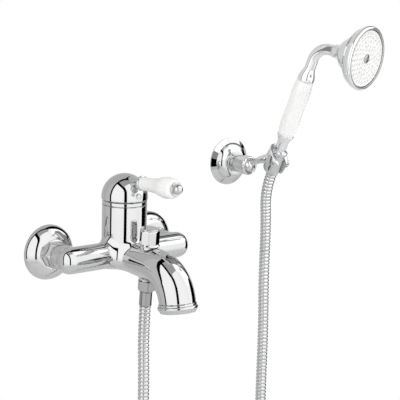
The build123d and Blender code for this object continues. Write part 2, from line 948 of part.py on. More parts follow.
with BuildPart() as aerator_seal:
    revolve(
        outline(
            outlet,
            (aerator_r - 3, aerator_front - aerator_height - 2),
            (aerator_r, aerator_front - aerator_height - 2),
            (aerator_r, aerator_front - aerator_height),
            (aerator_r - 3, aerator_front - aerator_height),
        ),
        axis=axis_of(outlet),
    )
save(aerator_seal, "aerator_seal")

# Hose connection under the spout
hose_nut_start = hose_boss_end + loose_gap
hose_nut_end = hose_nut_start + hose_nut_length
down = side(branch.origin, branch_dir * -1)
tip_end = hose_nut_end - 5.0
with BuildPart() as hose_outlet:
    revolve(
        outline(
            down,
            (hose_bore_r, branch_boss_r + 6),
            (hose_thread_r, branch_boss_r + 6),
            (hose_thread_r, tip_end),
            (hose_bore_r, tip_end),
        ),
        axis=axis_of(down),
    )
save(hose_outlet, "hose_outlet")

with BuildPart() as hose_washer:
    revolve(
        outline(
            down,
            (hose_bore_r, tip_end),
            (hose_thread_r, tip_end),
            (hose_thread_r, tip_end + 1.6),
            (hose_bore_r, tip_end + 1.6),
        ),
        axis=axis_of(down),
    )
save(hose_washer, "hose_washer")

nut_corner_r = hose_nut_flats / sqrt(3)
with BuildPart() as hose_nut:
    extrude(regular(across(down, hose_nut_start), hose_nut_flats, 6), amount=hose_nut_length)
    revolve(
        outline(
            down,
            (0, hose_nut_start),
            (nut_corner_r - 1, hose_nut_start),
            (nut_corner_r, hose_nut_start + 0.8),
            (nut_corner_r, hose_nut_start + hose_nut_hex),
            (ferrule_r + 0.9, hose_nut_start + hose_nut_hex + 1.2),
            (ferrule_r + 0.9, hose_nut_end),
            (0, hose_nut_end),
        ),
        axis=axis_of(down),
        mode=Mode.INTERSECT,
    )
    extrude(
        disc(across(down, hose_nut_start), hose_thread_r + thread_gap),
        amount=hose_nut_length - 1.6,
        mode=Mode.SUBTRACT,
    )
    extrude(
        disc(across(down, hose_nut_start), ferrule_r - 1.2 + thread_gap),
        amount=hose_nut_length,
        mode=Mode.SUBTRACT,
    )
save(hose_nut, "hose_nut")

ferrule_end = hose_nut_end + ferrule_length
with BuildPart() as hose_ferrule:
    revolve(
        outline(
            down,
            (tail_r - 1.2, tip_end + 1.6),
            (hose_thread_r, tip_end + 1.6),
            (hose_thread_r, hose_nut_end - 1.8),
            (ferrule_r - 1.2, hose_nut_end - 1.8),
            (ferrule_r - 1.2, hose_nut_end + loose_gap),
            (ferrule_r - 0.5, hose_nut_end + loose_gap),
            (ferrule_r, hose_nut_end + 0.8),
            (ferrule_r, ferrule_end - 0.8),
            (ferrule_r - 0.4, ferrule_end),
            (tail_r, ferrule_end),
            (tail_r, ferrule_end + tail_length),
            (tail_r - 1.2, ferrule_end + tail_length),
        ),
        axis=axis_of(down),
    )
save(hose_ferrule, "hose_ferrule")

# Wall bracket: plate, rose, stem, ball seat and ring nut
with BuildPart() as bracket_plate:
    extrude(disc(across(bracket, 0), plate_r), amount=plate_thick)
    extrude(disc(across(bracket, plate_thick), plate_boss_r), amount=plate_boss)
    with BuildSketch(across(bracket, 0)):
        with Locations((0, 0)):
            Circle(3.2)
    extrude(amount=plate_thick + plate_boss, mode=Mode.SUBTRACT)
    with BuildSketch(Plane.XZ):
        with Locations(
            (bracket_x, bracket_z - plate_screw_spacing / 2),
            (bracket_x, bracket_z + plate_screw_spacing / 2),
        ):
            Circle(plate_screw_r)
    extrude(amount=plate_thick, mode=Mode.SUBTRACT)
save(bracket_plate, "bracket_plate")

bore_r = stem_r - 2.5
with BuildPart() as bracket_rose:
    with BuildSketch(bracket):
        with BuildLine():
            Polyline(
                (bracket_rose_r - 1.5, 0),
                (bracket_rose_r, 0),
                (bracket_rose_r, 1.2),
                (bracket_bevel_r, bracket_bevel),
            )
            ThreePointArc(
                (bracket_bevel_r, bracket_bevel),
                (bracket_bevel_r - 4.2, bracket_bevel + 5.4),
                (stem_r + 1.4, bracket_rose_depth - 2),
            )
            Polyline(
                (stem_r + 1.4, bracket_rose_depth - 2),
                (stem_r + 1.4, bracket_rose_depth),
                (bore_r, bracket_rose_depth),
                (bore_r, bracket_rose_depth - 4),
            )
            ThreePointArc(
                (bore_r, bracket_rose_depth - 4),
                (bracket_bevel_r - 6.2, bracket_bevel + 3.2),
                (bracket_bevel_r - 0.6, bracket_bevel - 2),
            )
            Polyline(
                (bracket_bevel_r - 0.6, bracket_bevel - 2),
                (bracket_rose_r - 1.5, 0.8),
                (bracket_rose_r - 1.5, 0),
            )
        make_face()
    revolve(axis=axis_of(bracket))
save(bracket_rose, "bracket_rose")

ball_point = bracket.from_local_coords((0, ball_y, 0))
pocket_r = ball_r + seat_wall
pocket_floor = ball_y - ball_r - 1.2
with BuildPart() as bracket_stem:
    revolve(
        outline(
            bracket,
            (plate_boss_r + thread_gap, plate_thick + loose_gap),
            (bore_r - thread_gap, plate_thick + loose_gap),
            (bore_r - thread_gap, bracket_rose_depth + running_gap),
            (stem_r, bracket_rose_depth + running_gap),
            (stem_r, stem_end - 2),
            (stem_r - 1, stem_end - 1.4),
            (stem_thread_r, stem_end - 1.4),
            (stem_thread_r, ball_y - 1),
            (pocket_r, ball_y - 1),
            (pocket_r, pocket_floor),
            (0, pocket_floor),
            (0, plate_thick + plate_boss + 1),
            (plate_boss_r + thread_gap, plate_thick + plate_boss + 1),
        ),
        axis=axis_of(bracket),
    )
save(bracket_stem, "bracket_stem")

with BuildPart() as ball_seat:
    revolve(
        outline(
            bracket,
            (0, pocket_floor),
            (pocket_r - running_gap, pocket_floor),
            (pocket_r - running_gap, ball_y - 2),
            (0, ball_y - 2),
        ),
        axis=axis_of(bracket),
    )
    with Locations(ball_point):
        Sphere(ball_r + running_gap, mode=Mode.SUBTRACT)
save(ball_seat, "ball_seat")

nut_bore_r = stem_thread_r + thread_gap
with BuildPart() as ring_nut:
    with BuildSketch(bracket):
        with BuildLine():
            Polyline(
                (nut_bore_r, stem_end - 1.2),
                (ring_nut_r - 0.6, stem_end - 1.2),
                (ring_nut_r, stem_end - 0.6),
                (ring_nut_r, ball_y - 0.6),
            )
            ThreePointArc(
                (ring_nut_r, ball_y - 0.6),
                (ring_nut_r - 0.8, ball_y + ring_nut_lip - 0.9),
                (ring_nut_r - 2.4, ball_y + ring_nut_lip),
            )
            Polyline(
                (ring_nut_r - 2.4, ball_y + ring_nut_lip),
                (ring_nut_mouth_r + 0.3, ball_y + ring_nut_lip),
                (ring_nut_mouth_r, ball_y + ring_nut_lip - 0.3),
                (ring_nut_mouth_r, ball_y + 0.6),
                (nut_bore_r, ball_y - 0.6),
                (nut_bore_r, stem_end - 1.2),
            )
        make_face()
    revolve(axis=axis_of(bracket))
    with Locations(ball_point):
        Sphere(ball_r + running_gap, mode=Mode.SUBTRACT)
save(ring_nut, "ring_nut")

# Holder: a ball, a curved arm and a cup in one casting. The cup is open in front for the
# hose and its rim is cut down towards the front.
clamp_point = handle_foot + handle_dir * clamp_height
cup = side(handle_foot, handle_dir, forward)
corner = (forward * -1 - sideways).normalized()
arm_root = handle_foot + handle_dir * cup_arm_height + corner * (cup_belly_r - 3.7)
arm_start_dir = Vector(0, -cos(radians(holder_arm_angle)), sin(radians(holder_arm_angle)))
clamp_plane = Plane(origin=clamp_point, x_dir=forward, z_dir=sideways)
with BuildPart() as holder:
    with BuildLine():
        arm_path = Spline(
            ball_point,
            arm_root,
            tangents=(arm_start_dir, corner * -1),
            tangent_scalars=(1.1, 0.6),
        )
    arm_radii = (holder_arm_neck_r, holder_arm_neck_r + 0.1, holder_arm_middle_r, holder_arm_root_r)
    arm_sections = []
    for share, radius in zip((0, 0.35, 0.65, 1.0), arm_radii):
        arm_plane = Plane(origin=arm_path @ share, x_dir=(1, 0, 0), z_dir=arm_path % share)
        arm_sections.append(disc(arm_plane, radius))
    loft(arm_sections)
    with Locations(ball_point):
        Sphere(ball_r)
    with BuildSketch(cup):
        with BuildLine():
            Line((0, cup_foot), (cup_foot_r, cup_foot))
            Spline(
                (cup_foot_r, cup_foot),
                (cup_belly_r, clamp_height),
                (cup_top_r, cup_back),
                tangents=((1, 0.7), (-0.05, 1)),
            )
            Line((cup_top_r, cup_back), (0, cup_back))
            Line((0, cup_back), (0, cup_foot))
        make_face()
    revolve(axis=axis_of(cup))
    with BuildSketch(clamp_plane):
        Circle(knob_r - 0.8)
    extrude(amount=knob_reach - 0.4)
    with BuildSketch(cup):
        with BuildLine():
            Polyline(
                (-cup_belly_r - 4, cup_back + 4),
                (-cup_belly_r - 4, cup_back + 0.1),
                (-cup_top_r + 4, cup_back),
                (cup_top_r - 1, cup_front),
                (cup_belly_r + 4, cup_front - 3),
                (cup_belly_r + 4, cup_back + 4),
                close=True,
            )
        make_face()
    extrude(amount=30, both=True, mode=Mode.SUBTRACT)
    seat = cone_foot_r + (cone_top_r - cone_foot_r) * cup_foot / cone_length
    revolve(
        outline(
            cup,
            (0, cup_foot - 2),
            (cone_foot_r + loose_gap, cup_foot - 2),
            (seat + loose_gap, cup_foot),
            (cone_top_r + loose_gap, cone_length),
            (ridge_r + loose_gap, ridge - 2),
            (ridge_r + loose_gap, cup_back + 4),
            (0, cup_back + 4),
        ),
        axis=axis_of(cup),
        mode=Mode.SUBTRACT,
    )
    with BuildSketch(across(cup, 0)):
        with Locations((cup_belly_r, 0)):
            Rectangle(2 * cup_belly_r, cup_slot)
    extrude(amount=cup_back + 4, mode=Mode.SUBTRACT)
    with BuildSketch(clamp_plane):
        Circle(clamp_screw_r + running_gap)
    extrude(amount=knob_reach + 1, mode=Mode.SUBTRACT)
save(holder, "holder")

# Clamp knob with a knurled rim and a screw into the cup wall
with BuildPart() as clamp_knob:
    knob_plane = clamp_plane.offset(knob_reach)
    with BuildSketch(knob_plane):
        Circle(knob_r)
        with PolarLocations(knob_r + 0.2, 16):
            Circle(0.7, mode=Mode.SUBTRACT)
    extrude(amount=knob_thick)
    with BuildSketch(knob_plane.offset(knob_thick)):
        Circle(knob_r - 1.8)
    extrude(amount=0.8)
    screw_start = knob_reach - 4.6
    with BuildSketch(knob_plane.offset(-knob_reach + screw_start)):
        Circle(clamp_screw_r)
    extrude(amount=knob_reach - screw_start)
save(clamp_knob, "clamp_knob")

# Hose end inside the cone nut
seat_top = seat_floor + hose_flange
seal_top = seat_top + seal_thick
with BuildPart() as hose_end:
    revolve(
        outline(
            handle,
            (tail_r - 1.2, -tail_length),
            (tail_r, -tail_length),
            (tail_r, 0.1),
            (cone_bore_r - running_gap, 0.1),
            (cone_bore_r - running_gap, seat_floor + running_gap),
            (seat_r - 0.3, seat_floor + running_gap),
            (seat_r - 0.3, seat_top),
            (tail_r - 1.2, seat_top),
        ),
        axis=axis_of(handle),
    )
save(hose_end, "hose_end")

with BuildPart() as cone_nut:
    revolve(
        outline(
            handle,
            (cone_bore_r, 0.3),
            (cone_foot_r - 0.5, 0.3),
            (cone_foot_r, 1.0),
            (cone_top_r, cone_length),
            (ridge_r, ridge - 2.2),
            (ridge_r, ridge),
            (ridge_r - 1.8, cone_end),
            (seat_r, cone_end),
            (seat_r, seat_floor),
            (cone_bore_r, seat_floor),
        ),
        axis=axis_of(handle),
    )
save(cone_nut, "cone_nut")

with BuildPart() as handset_seal:
    revolve(
        outline(
            handle,
            (waterway_r, seat_top + running_gap),
            (seat_r - 0.2, seat_top + running_gap),
            (seat_r - 0.2, seal_top),
            (waterway_r, seal_top),
        ),
        axis=axis_of(handle),
    )
save(handset_seal, "handset_seal")

# Lower socket, porcelain handle and the tube inside
with BuildPart() as handle_socket:
    with BuildSketch(handle):
        with BuildLine():
            Polyline(
                (waterway_r, seal_top),
                (seat_r - thread_gap, seal_top),
                (seat_r - thread_gap, cone_end - 0.6),
                (socket_waist_r, cone_end + 0.4),
                (socket_waist_r, socket_waist_end),
                (socket_r, socket_waist_end + 1),
                (socket_r, socket_waist_end + 8),
            )
            Spline(
                (socket_r, socket_waist_end + 8),
                (socket_r + 1.3, socket_end - 7),
                (socket_rim_r, socket_end - 1.6),
                tangents=((0, 1), (0.6, 1)),
            )
            Polyline(
                (socket_rim_r, socket_end - 1.6),
                (socket_rim_r, socket_end - 0.4),
                (socket_rim_r - 0.4, socket_end),
                (inner_tube_r + thread_gap, socket_end),
                (inner_tube_r + thread_gap, socket_end - 6),
                (waterway_r, socket_end - 6),
                (waterway_r, seal_top),
            )
        make_face()
    revolve(axis=axis_of(handle))
save(handle_socket, "handle_socket")

with BuildPart() as porcelain_handle:
    with BuildSketch(handle):
        with BuildLine():
            Line((inner_tube_r + loose_gap, socket_end), (handle_foot_r - 0.6, socket_end))
            Spline(
                (handle_foot_r - 0.6, socket_end),
                (handle_foot_r + 0.3, socket_end + 4),
                (handle_belly_r, socket_end + handle_length / 2),
                (handle_top_r + 0.2, porcelain_top - 4),
                (handle_top_r - 0.6, porcelain_top),
            )
            Line((handle_top_r - 0.6, porcelain_top), (inner_tube_r + loose_gap, porcelain_top))
            Line((inner_tube_r + loose_gap, porcelain_top), (inner_tube_r + loose_gap, socket_end))
        make_face()
    revolve(axis=axis_of(handle))
save(porcelain_handle, "porcelain_handle")

with BuildPart() as handset_tube:
    revolve(
        outline(
            handle,
            (waterway_r, socket_end - 6 + running_gap),
            (inner_tube_r, socket_end - 6 + running_gap),
            (inner_tube_r, porcelain_top + 6),
            (waterway_r, porcelain_top + 6),
        ),
        axis=axis_of(handle),
    )
save(handset_tube, "handset_tube")

# Neck: a trumpet over the porcelain, then the bent tube to the head
bend = radians(elbow_angle)
tangent_run = elbow_r * tan(bend / 2)
bend_start = elbow_along - tangent_run
elbow_out = (sin(bend), cos(bend))


def beyond_elbow(distance, offset=0.0):
    return (
        elbow_out[0] * distance - elbow_out[1] * offset,
        elbow_along + elbow_out[1] * distance + elbow_out[0] * offset,
    )


with BuildPart() as handset_neck:
    with BuildSketch(neck):
        with BuildLine():
            Line((0, porcelain_top), (neck_foot_r, porcelain_top))
            Spline(
                (neck_foot_r, porcelain_top),
                (neck_foot_r - 0.4, porcelain_top + neck_taper * 0.35),
                (tube_r + 0.9, porcelain_top + neck_taper * 0.75),
                (tube_r, porcelain_top + neck_taper),
                tangents=((0.1, 1), (0, 1)),
            )
            Line((tube_r, porcelain_top + neck_taper), (0, porcelain_top + neck_taper))
            Line((0, porcelain_top + neck_taper), (0, porcelain_top))
        make_face()
    revolve(axis=axis_of(neck))
    with BuildLine(neck) as neck_path:
        Line((0, porcelain_top + neck_taper - 1), (0, bend_start))
        JernArc((0, bend_start), (0, 1), elbow_r, -elbow_angle)
        Line(beyond_elbow(tangent_run), beyond_elbow(head_joint))
    sweep(disc(across(neck, porcelain_top + neck_taper - 1), tube_r), path=neck_path.line)
    with BuildLine(neck) as water_path:
        Line((0, porcelain_top + 6), (0, bend_start))
        JernArc((0, bend_start), (0, 1), elbow_r, -elbow_angle)
        Line(beyond_elbow(tangent_run), beyond_elbow(head_joint))
    sweep(disc(across(neck, porcelain_top + 6), waterway_r), path=water_path.line, mode=Mode.SUBTRACT)
    extrude(
        disc(across(neck, porcelain_top - 1), inner_tube_r + thread_gap),
        amount=7.1,
        mode=Mode.SUBTRACT,
    )
save(handset_neck, "handset_neck")

# Shower head: bell, spray plate, seal and centre screw, along the head's own axis
head_origin = neck.from_local_coords((*beyond_elbow(0), 0))
head_dir = neck.from_local_coords((*beyond_elbow(1), 0)) - head_origin
head = side(head_origin, head_dir, neck.z_dir)
face_at = head_length
plate_back = face_at - spray_recess - spray_thick
bell_foot = head_joint + 4
bell_mouth = face_at - head_rim


# A point of the bell: share of the way out to the rim, share of the way along to the mouth.
def bell(out, along):
    return (
        head_neck_r + (head_r - head_neck_r) * out,
        bell_foot + (bell_mouth - bell_foot) * along,
    )


with BuildPart() as shower_head:
    with BuildSketch(head):
        with BuildLine():
            Spline(
                (head_neck_r, bell_foot),
                bell(0.10, 0.234),
                bell(0.31, 0.45),
                bell(0.48, 0.68),
                bell(0.665, 0.92),
                (head_r - 6.6, bell_mouth),
                tangents=((0, 1), (1, 0.62)),
            )
            Polyline(
                (head_r - 6.6, bell_mouth),
                (head_r - 4.8, bell_mouth + 0.2),
                (head_r - 4.8, bell_mouth + 1.8),
                (head_r - 5.4, bell_mouth + 2.2),
            )
            ThreePointArc(
                (head_r - 5.4, bell_mouth + 2.2),
                (head_r - 0.9, bell_mouth + 7.2),
                (head_r, bell_mouth + 10.6),
            )
            ThreePointArc(
                (head_r, bell_mouth + 10.6),
                (head_r - 0.4, face_at - 1.6),
                (head_r - 1.4, face_at - 0.5),
            )
            Polyline(
                (head_r - 1.4, face_at - 0.5),
                (head_r - 2.4, face_at),
                (plate_seat_r, face_at),
                (plate_seat_r, plate_back - 1.8),
                (plate_seat_r - 2, plate_back - 1.8),
                (plate_seat_r - 2, bell_mouth + 3.5),
            )
            Spline(
                (plate_seat_r - 2, bell_mouth + 3.5),
                bell(0.56, 0.90),
                bell(0.36, 0.64),
                bell(0.12, 0.37),
                (waterway_r, head_joint + 8),
            )
            Polyline(
                (waterway_r, head_joint + 8),
                (waterway_r, head_joint),
                (tube_r + 0.5, head_joint),
                (tube_r + 1.4, head_joint + 1),
                (tube_r + 1.4, head_joint + 2.6),
                (head_neck_r - 1.2, head_joint + 3),
                (head_neck_r - 0.6, head_joint + 4),
                (head_neck_r, head_joint + 4),
            )
        make_face()
    revolve(axis=axis_of(head))
save(shower_head, "shower_head")

with BuildPart() as spray_plate:
    extrude(disc(across(head, plate_back), plate_seat_r - running_gap), amount=spray_thick)
    with BuildSketch(across(head, plate_back)):
        for ring_share, count in spray_rings:
            with PolarLocations(plate_seat_r * ring_share, count):
                Circle(spray_hole_r)
        Circle(grub_r + running_gap)
    extrude(amount=spray_thick, mode=Mode.SUBTRACT)
save(spray_plate, "spray_plate")

with BuildPart() as spray_seal:
    revolve(
        outline(
            head,
            (plate_seat_r - 1.9, plate_back - 1.8),
            (plate_seat_r - running_gap, plate_back - 1.8),
            (plate_seat_r - running_gap, plate_back),
            (plate_seat_r - 1.9, plate_back),
        ),
        axis=axis_of(head),
    )
save(spray_seal, "spray_seal")

with BuildPart() as spray_screw:
    extrude(disc(across(head, plate_back + spray_thick), spray_boss_r), amount=1.8)
    chamfer(spray_screw.faces().sort_by(axis_of(head))[-1].edges(), 0.8)
    extrude(disc(across(head, plate_back - 6), grub_r), amount=spray_thick + 6)
    with BuildSketch(across(head, plate_back + spray_thick + 1)):
        Rectangle(spray_boss_r * 3, 1.4)
    extrude(amount=2, mode=Mode.SUBTRACT)
save(spray_screw, "spray_screw")

# Hose route: from the ferrule, round the hanging loop and up into the cone nut
hose_start = down.from_local_coords((0, ferrule_end, 0))
hose_top = handle_foot
lower_last = Vector(*hose_lower_points[-1])
upper_first = Vector(*hose_upper_points[0])
hose_split = lower_last + (upper_first - lower_last) * hose_split_share
lower_route = [hose_start, hose_start + down.y_dir * hose_first_run]
lower_route += [Vector(*p) for p in hose_lower_points] + [hose_split]
upper_route = [hose_split, upper_first, hose_top - handle_dir * hose_top_run, hose_top]


# Straight runs joined by tangent arcs, each as large as its two runs allow.
def route_line(points):
    radii = []
    for before, here, after in zip(points, points[1:], points[2:]):
        angle = radians((here - before).get_angle(after - here))
        shorter = min((here - before).length, (after - here).length)
        radii.append(0.45 * shorter / tan(angle / 2))
    print("radii", [round(r) for r in radii])
    with BuildLine() as line:
        FilletPolyline(*points, radius=radii)
    return line.wire()


def ribbed(name, route):
    path = route_line(route)
    length = path.length
    straight = 2 * hose_r
    count = int((length - 2 * straight) // rib_pitch)
    pitch = (length - 2 * straight) / count
    stations = [(0.0, hose_r), (straight - pitch * 0.15, hose_r)]
    for rib in range(count):
        start = straight + rib * pitch
        stations += [
            (start, hose_root_r),
            (start + pitch * 0.2, hose_root_r),
            (start + pitch * 0.4, hose_r),
            (start + pitch * 0.8, hose_r),
        ]
    stations += [
        (length - straight, hose_root_r),
        (length - straight + pitch * 0.15, hose_r),
        (length, hose_r),
    ]
    sections = []
    for at, radius in stations:
        share = min(at / length, 1.0)
        sections.append(disc(Plane(origin=path @ share, x_dir=(0, 1, 0), z_dir=path % share), radius))
    return path, sections, count


total = 0.0
for name, route in (("hose_lower", lower_route), ("hose_upper", upper_route)):
    hose_path, sections, count = ribbed(name, route)
    with BuildPart() as hose:
        loft(sections, ruled=True)
        sweep(
            disc(Plane(origin=hose_path @ 0, x_dir=(0, 1, 0), z_dir=hose_path % 0), hose_bore_r),
            path=hose_path,
            mode=Mode.SUBTRACT,
        )
    total += hose_path.length
    box = hose.part.bounding_box()
    plain = pi * (hose_r**2 - hose_bore_r**2) * hose_path.length
    print(name, "ribs", count, "length", round(hose_path.length), "lowest", round(box.min.Z, 1))
    print(
        name,
        "volume",
        round(hose.part.volume),
        "of a plain tube",
        round(hose.part.volume / plain, 3),
    )
    save(hose, name)
print("hose length", round(total), "stated", hose_length)
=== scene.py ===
import bmesh
import bpy
import numpy as np
from mathutils import Matrix, Vector


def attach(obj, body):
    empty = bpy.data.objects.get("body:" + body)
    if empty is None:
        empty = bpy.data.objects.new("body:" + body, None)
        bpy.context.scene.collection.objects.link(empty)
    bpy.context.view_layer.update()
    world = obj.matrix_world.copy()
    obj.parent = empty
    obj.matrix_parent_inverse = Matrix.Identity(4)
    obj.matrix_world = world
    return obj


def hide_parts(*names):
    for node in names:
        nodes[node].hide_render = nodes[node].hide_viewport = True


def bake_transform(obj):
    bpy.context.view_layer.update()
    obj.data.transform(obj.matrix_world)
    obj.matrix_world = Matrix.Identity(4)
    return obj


# Bath mixer on the wall, with a hand shower in its bracket. Every size is in millimetres,
# in the frame of the CAD part, and becomes metres when a mesh is made.

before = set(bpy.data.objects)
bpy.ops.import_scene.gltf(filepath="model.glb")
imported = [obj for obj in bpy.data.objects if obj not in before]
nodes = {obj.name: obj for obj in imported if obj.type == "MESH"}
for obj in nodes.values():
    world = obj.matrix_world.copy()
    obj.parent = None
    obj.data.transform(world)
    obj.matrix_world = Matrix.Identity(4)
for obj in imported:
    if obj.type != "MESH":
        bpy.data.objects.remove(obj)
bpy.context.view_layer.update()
mm = 0.001
root = bpy.context.scene.collection

# Camera: the photograph is taken from the left and a little from above.
cameraSet = {
    "back": (-0.62590, -0.75540, 0.19409), "target": (0.11429, -0.060, 0.05397), "distance": 2.0643, "roll": 1.40,
    "lens": 148.26, "sensor": 36, "clip": 0.02,
}


def unit(v):
    v = np.asarray(v, float)
    return v / np.linalg.norm(v, axis=-1, keepdims=True)


def newObject(name, data):
    piece = bpy.data.objects.new(name, data)
    root.objects.link(piece)
    return piece


def addCamera(s):
    back = unit(s["back"])
    level = unit(np.cross((0, 0, 1), back))
    up = np.cross(back, level)
    roll = np.radians(s["roll"])
    right = np.cos(roll) * level + np.sin(roll) * up
    top = np.cos(roll) * up - np.sin(roll) * level
    place = np.array(s["target"]) + back * s["distance"]
    data = bpy.data.cameras.new("photoCamera")
    data.sensor_width, data.lens, data.clip_start = s["sensor"], s["lens"], s["clip"]
    camera = newObject("photoCamera", data)
    matrix = np.eye(4)
    matrix[:3, 0], matrix[:3, 1], matrix[:3, 2], matrix[:3, 3] = right, top, back, place
    camera.matrix_world = Matrix(matrix.tolist())
    bpy.context.scene.camera = camera
    return level, back


cameraRight, cameraBack = addCamera(cameraSet)
print("camera placed")


# Shader groups that several finishes share. Each puts out only a value, a colour or a normal.
def addNode(tree, kind, inputs):
    # Each socket takes a value, or a link where an output socket is given.
    node = tree.nodes.new(kind)
    for label, given in inputs.items():
        if isinstance(given, bpy.types.NodeSocket):
            tree.links.new(given, node.inputs[label])
        else:
            node.inputs[label].default_value = given
    return node


def newGroup(name, inputs, output, kind):
    group = bpy.data.node_groups.new(name, "ShaderNodeTree")
    for label, value in inputs.items():
        numbers = "NodeSocketColor" if isinstance(value, tuple) else "NodeSocketFloat"
        group.interface.new_socket(name=label, in_out="INPUT", socket_type=numbers).default_value = value
    group.interface.new_socket(name=output, in_out="OUTPUT", socket_type=kind)
    return group, group.nodes.new("NodeGroupInput").outputs, group.nodes.new("NodeGroupOutput").inputs


def addNoise(group, scale, detail, rough=0.5):
    place = group.nodes.new("ShaderNodeTexCoord").outputs["Object"]
    values = {"Vector": place, "Scale": scale, "Detail": detail, "Roughness": rough}
    return addNode(group, "ShaderNodeTexNoise", values).outputs["Fac"]


def makePolishHaze():
    # Roughness = Low + (High - Low) * noise, from Object coordinates: fine wiping marks and water haze.
    inputs = {"Scale": 60.0, "Low": 0.03, "High": 0.08}
    group, given, out = newGroup("polishHaze", inputs, "Roughness", "NodeSocketFloat")
    spread = addNode(group, "ShaderNodeMapRange", {
        "Value": addNoise(group, given["Scale"], 5.0, 0.62), "From Min": 0.35, "From Max": 0.72,
        "To Min": given["Low"], "To Max": given["High"],
    })
    group.links.new(spread.outputs["Result"], out["Roughness"])
    return group


def makeCastRipple():
    # Normal = bump of a wide soft noise plus a fine one, as a hand polished casting has.
    inputs = {"Wide Scale": 30.0, "Fine Scale": 900.0, "Fine Share": 0.15, "Depth": 0.00005}
    group, given, out = newGroup("castRipple", inputs, "Normal", "NodeSocketVector")
    wide, fine = addNoise(group, given["Wide Scale"], 1.0), addNoise(group, given["Fine Scale"], 2.0)
    share = addNode(group, "ShaderNodeMath", {0: fine, 1: given["Fine Share"]})
    share.operation = "MULTIPLY"
    total = addNode(group, "ShaderNodeMath", {0: wide, 1: share.outputs[0]})
    total.operation = "ADD"
    bump = addNode(group, "ShaderNodeBump", {"Height": total.outputs[0], "Distance": given["Depth"]})
    group.links.new(bump.outputs["Normal"], out["Normal"])
    return group


def makeToneDrift():
    # Colour = mix of two near tones by a slow noise, so no surface is one flat colour.
    inputs = {"Scale": 25.0, "Base": (0.8, 0.8, 0.8, 1), "Drift": (0.7, 0.7, 0.7, 1)}
    group, given, out = newGroup("toneDrift", inputs, "Color", "NodeSocketColor")
    cloud = addNoise(group, given["Scale"], 3.0)
    spread = addNode(group, "ShaderNodeMapRange", {"Value": cloud, "From Min": 0.4, "From Max": 0.7})
    mix = group.nodes.new("ShaderNodeMix")
    mix.data_type = "RGBA"
    for socket, source in (("Factor", spread.outputs["Result"]), (6, given["Base"]), (7, given["Drift"])):
        group.links.new(source, mix.inputs[socket])
    group.links.new(mix.outputs[2], out["Color"])
    return group


polishHaze = makePolishHaze()
castRipple = makeCastRipple()
toneDrift = makeToneDrift()


def newMaterial(name):
    mat = bpy.data.materials.new(name)
    mat.use_nodes = True
    return mat, mat.node_tree


def makeFinish(name, s):
    mat, tree = newMaterial(name)
    shader = tree.nodes["Principled BSDF"]
    for label, value in {"Metallic": s["metallic"], **s.get("sockets", {})}.items():
        shader.inputs[label].default_value = value
    for group, key, target in (
        (toneDrift, "tone", "Base Color"), (polishHaze, "haze", "Roughness"), (castRipple, "ripple", "Normal"),
    ):
        node = tree.nodes.new("ShaderNodeGroup")
        node.node_tree = group
        for socket, value in zip(node.inputs, s[key]):
            socket.default_value = value
        tree.links.new(node.outputs[0], shader.inputs[target])
    return mat


# tone = scale, base, drift. haze = scale, low, high. ripple = wide scale, fine scale, fine share, depth.
finishes = {
    "chrome": {
        "metallic": 1.0, "tone": (18.0, (0.60, 0.60, 0.605, 1), (0.56, 0.565, 0.57, 1)),
        "haze": (70.0, 0.015, 0.04), "ripple": (22.0, 700.0, 0.01, 0.00002),
    },
    # A darker copy of chrome: its lower tone is painted shade, for the hose nut and ferrule under the branch and the
    # screw in the middle of the spray face.
    "shadedChrome": {
        "metallic": 1.0, "tone": (40.0, (0.33, 0.33, 0.335, 1), (0.29, 0.29, 0.295, 1)),
        "haze": (120.0, 0.02, 0.06), "ripple": (30.0, 900.0, 0.01, 0.00002),
    },
    "porcelain": {
        "metallic": 0.0, "tone": (30.0, (0.90, 0.90, 0.893, 1), (0.86, 0.86, 0.85, 1)),
        "haze": (90.0, 0.05, 0.11), "ripple": (45.0, 1200.0, 0.04, 0.00008),
        "sockets": {"Coat Weight": 0.6, "Coat Roughness": 0.03, "Specular IOR Level": 0.5},
    },
    "brass": {
        "metallic": 1.0, "tone": (60.0, (0.46, 0.31, 0.11, 1), (0.36, 0.24, 0.08, 1)),
        "haze": (200.0, 0.2, 0.42), "ripple": (300.0, 2500.0, 0.5, 0.00006),
    },
    "steel": {
        "metallic": 1.0, "tone": (80.0, (0.42, 0.42, 0.43, 1), (0.33, 0.33, 0.34, 1)),
        "haze": (300.0, 0.18, 0.36), "ripple": (400.0, 3000.0, 0.5, 0.00004),
    },
    "plastic": {
        "metallic": 0.0, "tone": (90.0, (0.86, 0.86, 0.855, 1), (0.81, 0.81, 0.80, 1)),
        "haze": (400.0, 0.3, 0.5), "ripple": (500.0, 4000.0, 0.6, 0.00005),
    },
    "rubber": {
        "metallic": 0.0, "tone": (120.0, (0.025, 0.025, 0.025, 1), (0.05, 0.05, 0.05, 1)),
        "haze": (500.0, 0.5, 0.75), "ripple": (600.0, 4000.0, 0.8, 0.00008),
    },
}
mats = {name: makeFinish(name + "Finish", s) for name, s in finishes.items()}
print("finishes made")


# Shapes. A frame is (origin, along, outward, across): along is the turning axis.
def axisFrame(origin, along, outward=(1, 0, 0)):
    along = unit(along)
    outward = np.asarray(outward, float)
    outward = unit(outward - along * np.dot(outward, along))
    return np.asarray(origin, float), along, outward, np.cross(along, outward)


def smooth(t):
    return t * t * (3 - 2 * t)


def inFrame(place, radius, turn, along):
    # Point = origin + along * s + r * (outward * cos(turn) + across * sin(turn)).
    origin, axis, outward, across = place
    ring = np.cos(turn)[..., None] * outward + np.sin(turn)[..., None] * across
    return origin + along[..., None] * axis + radius[..., None] * ring


def fullTurn(steps):
    return np.linspace(0, 2 * np.pi, steps, endpoint=False)


def sweep(centre, radius, side, other, steps):
    # Rings of that radius round each point of a line: side * cos(turn) + other * sin(turn).
    turn = fullTurn(steps)[:, None]
    ring = np.cos(turn) * side[:, None] + np.sin(turn) * other[:, None]
    return (centre[:, None] + radius[:, None, None] * ring).reshape(-1, 3)


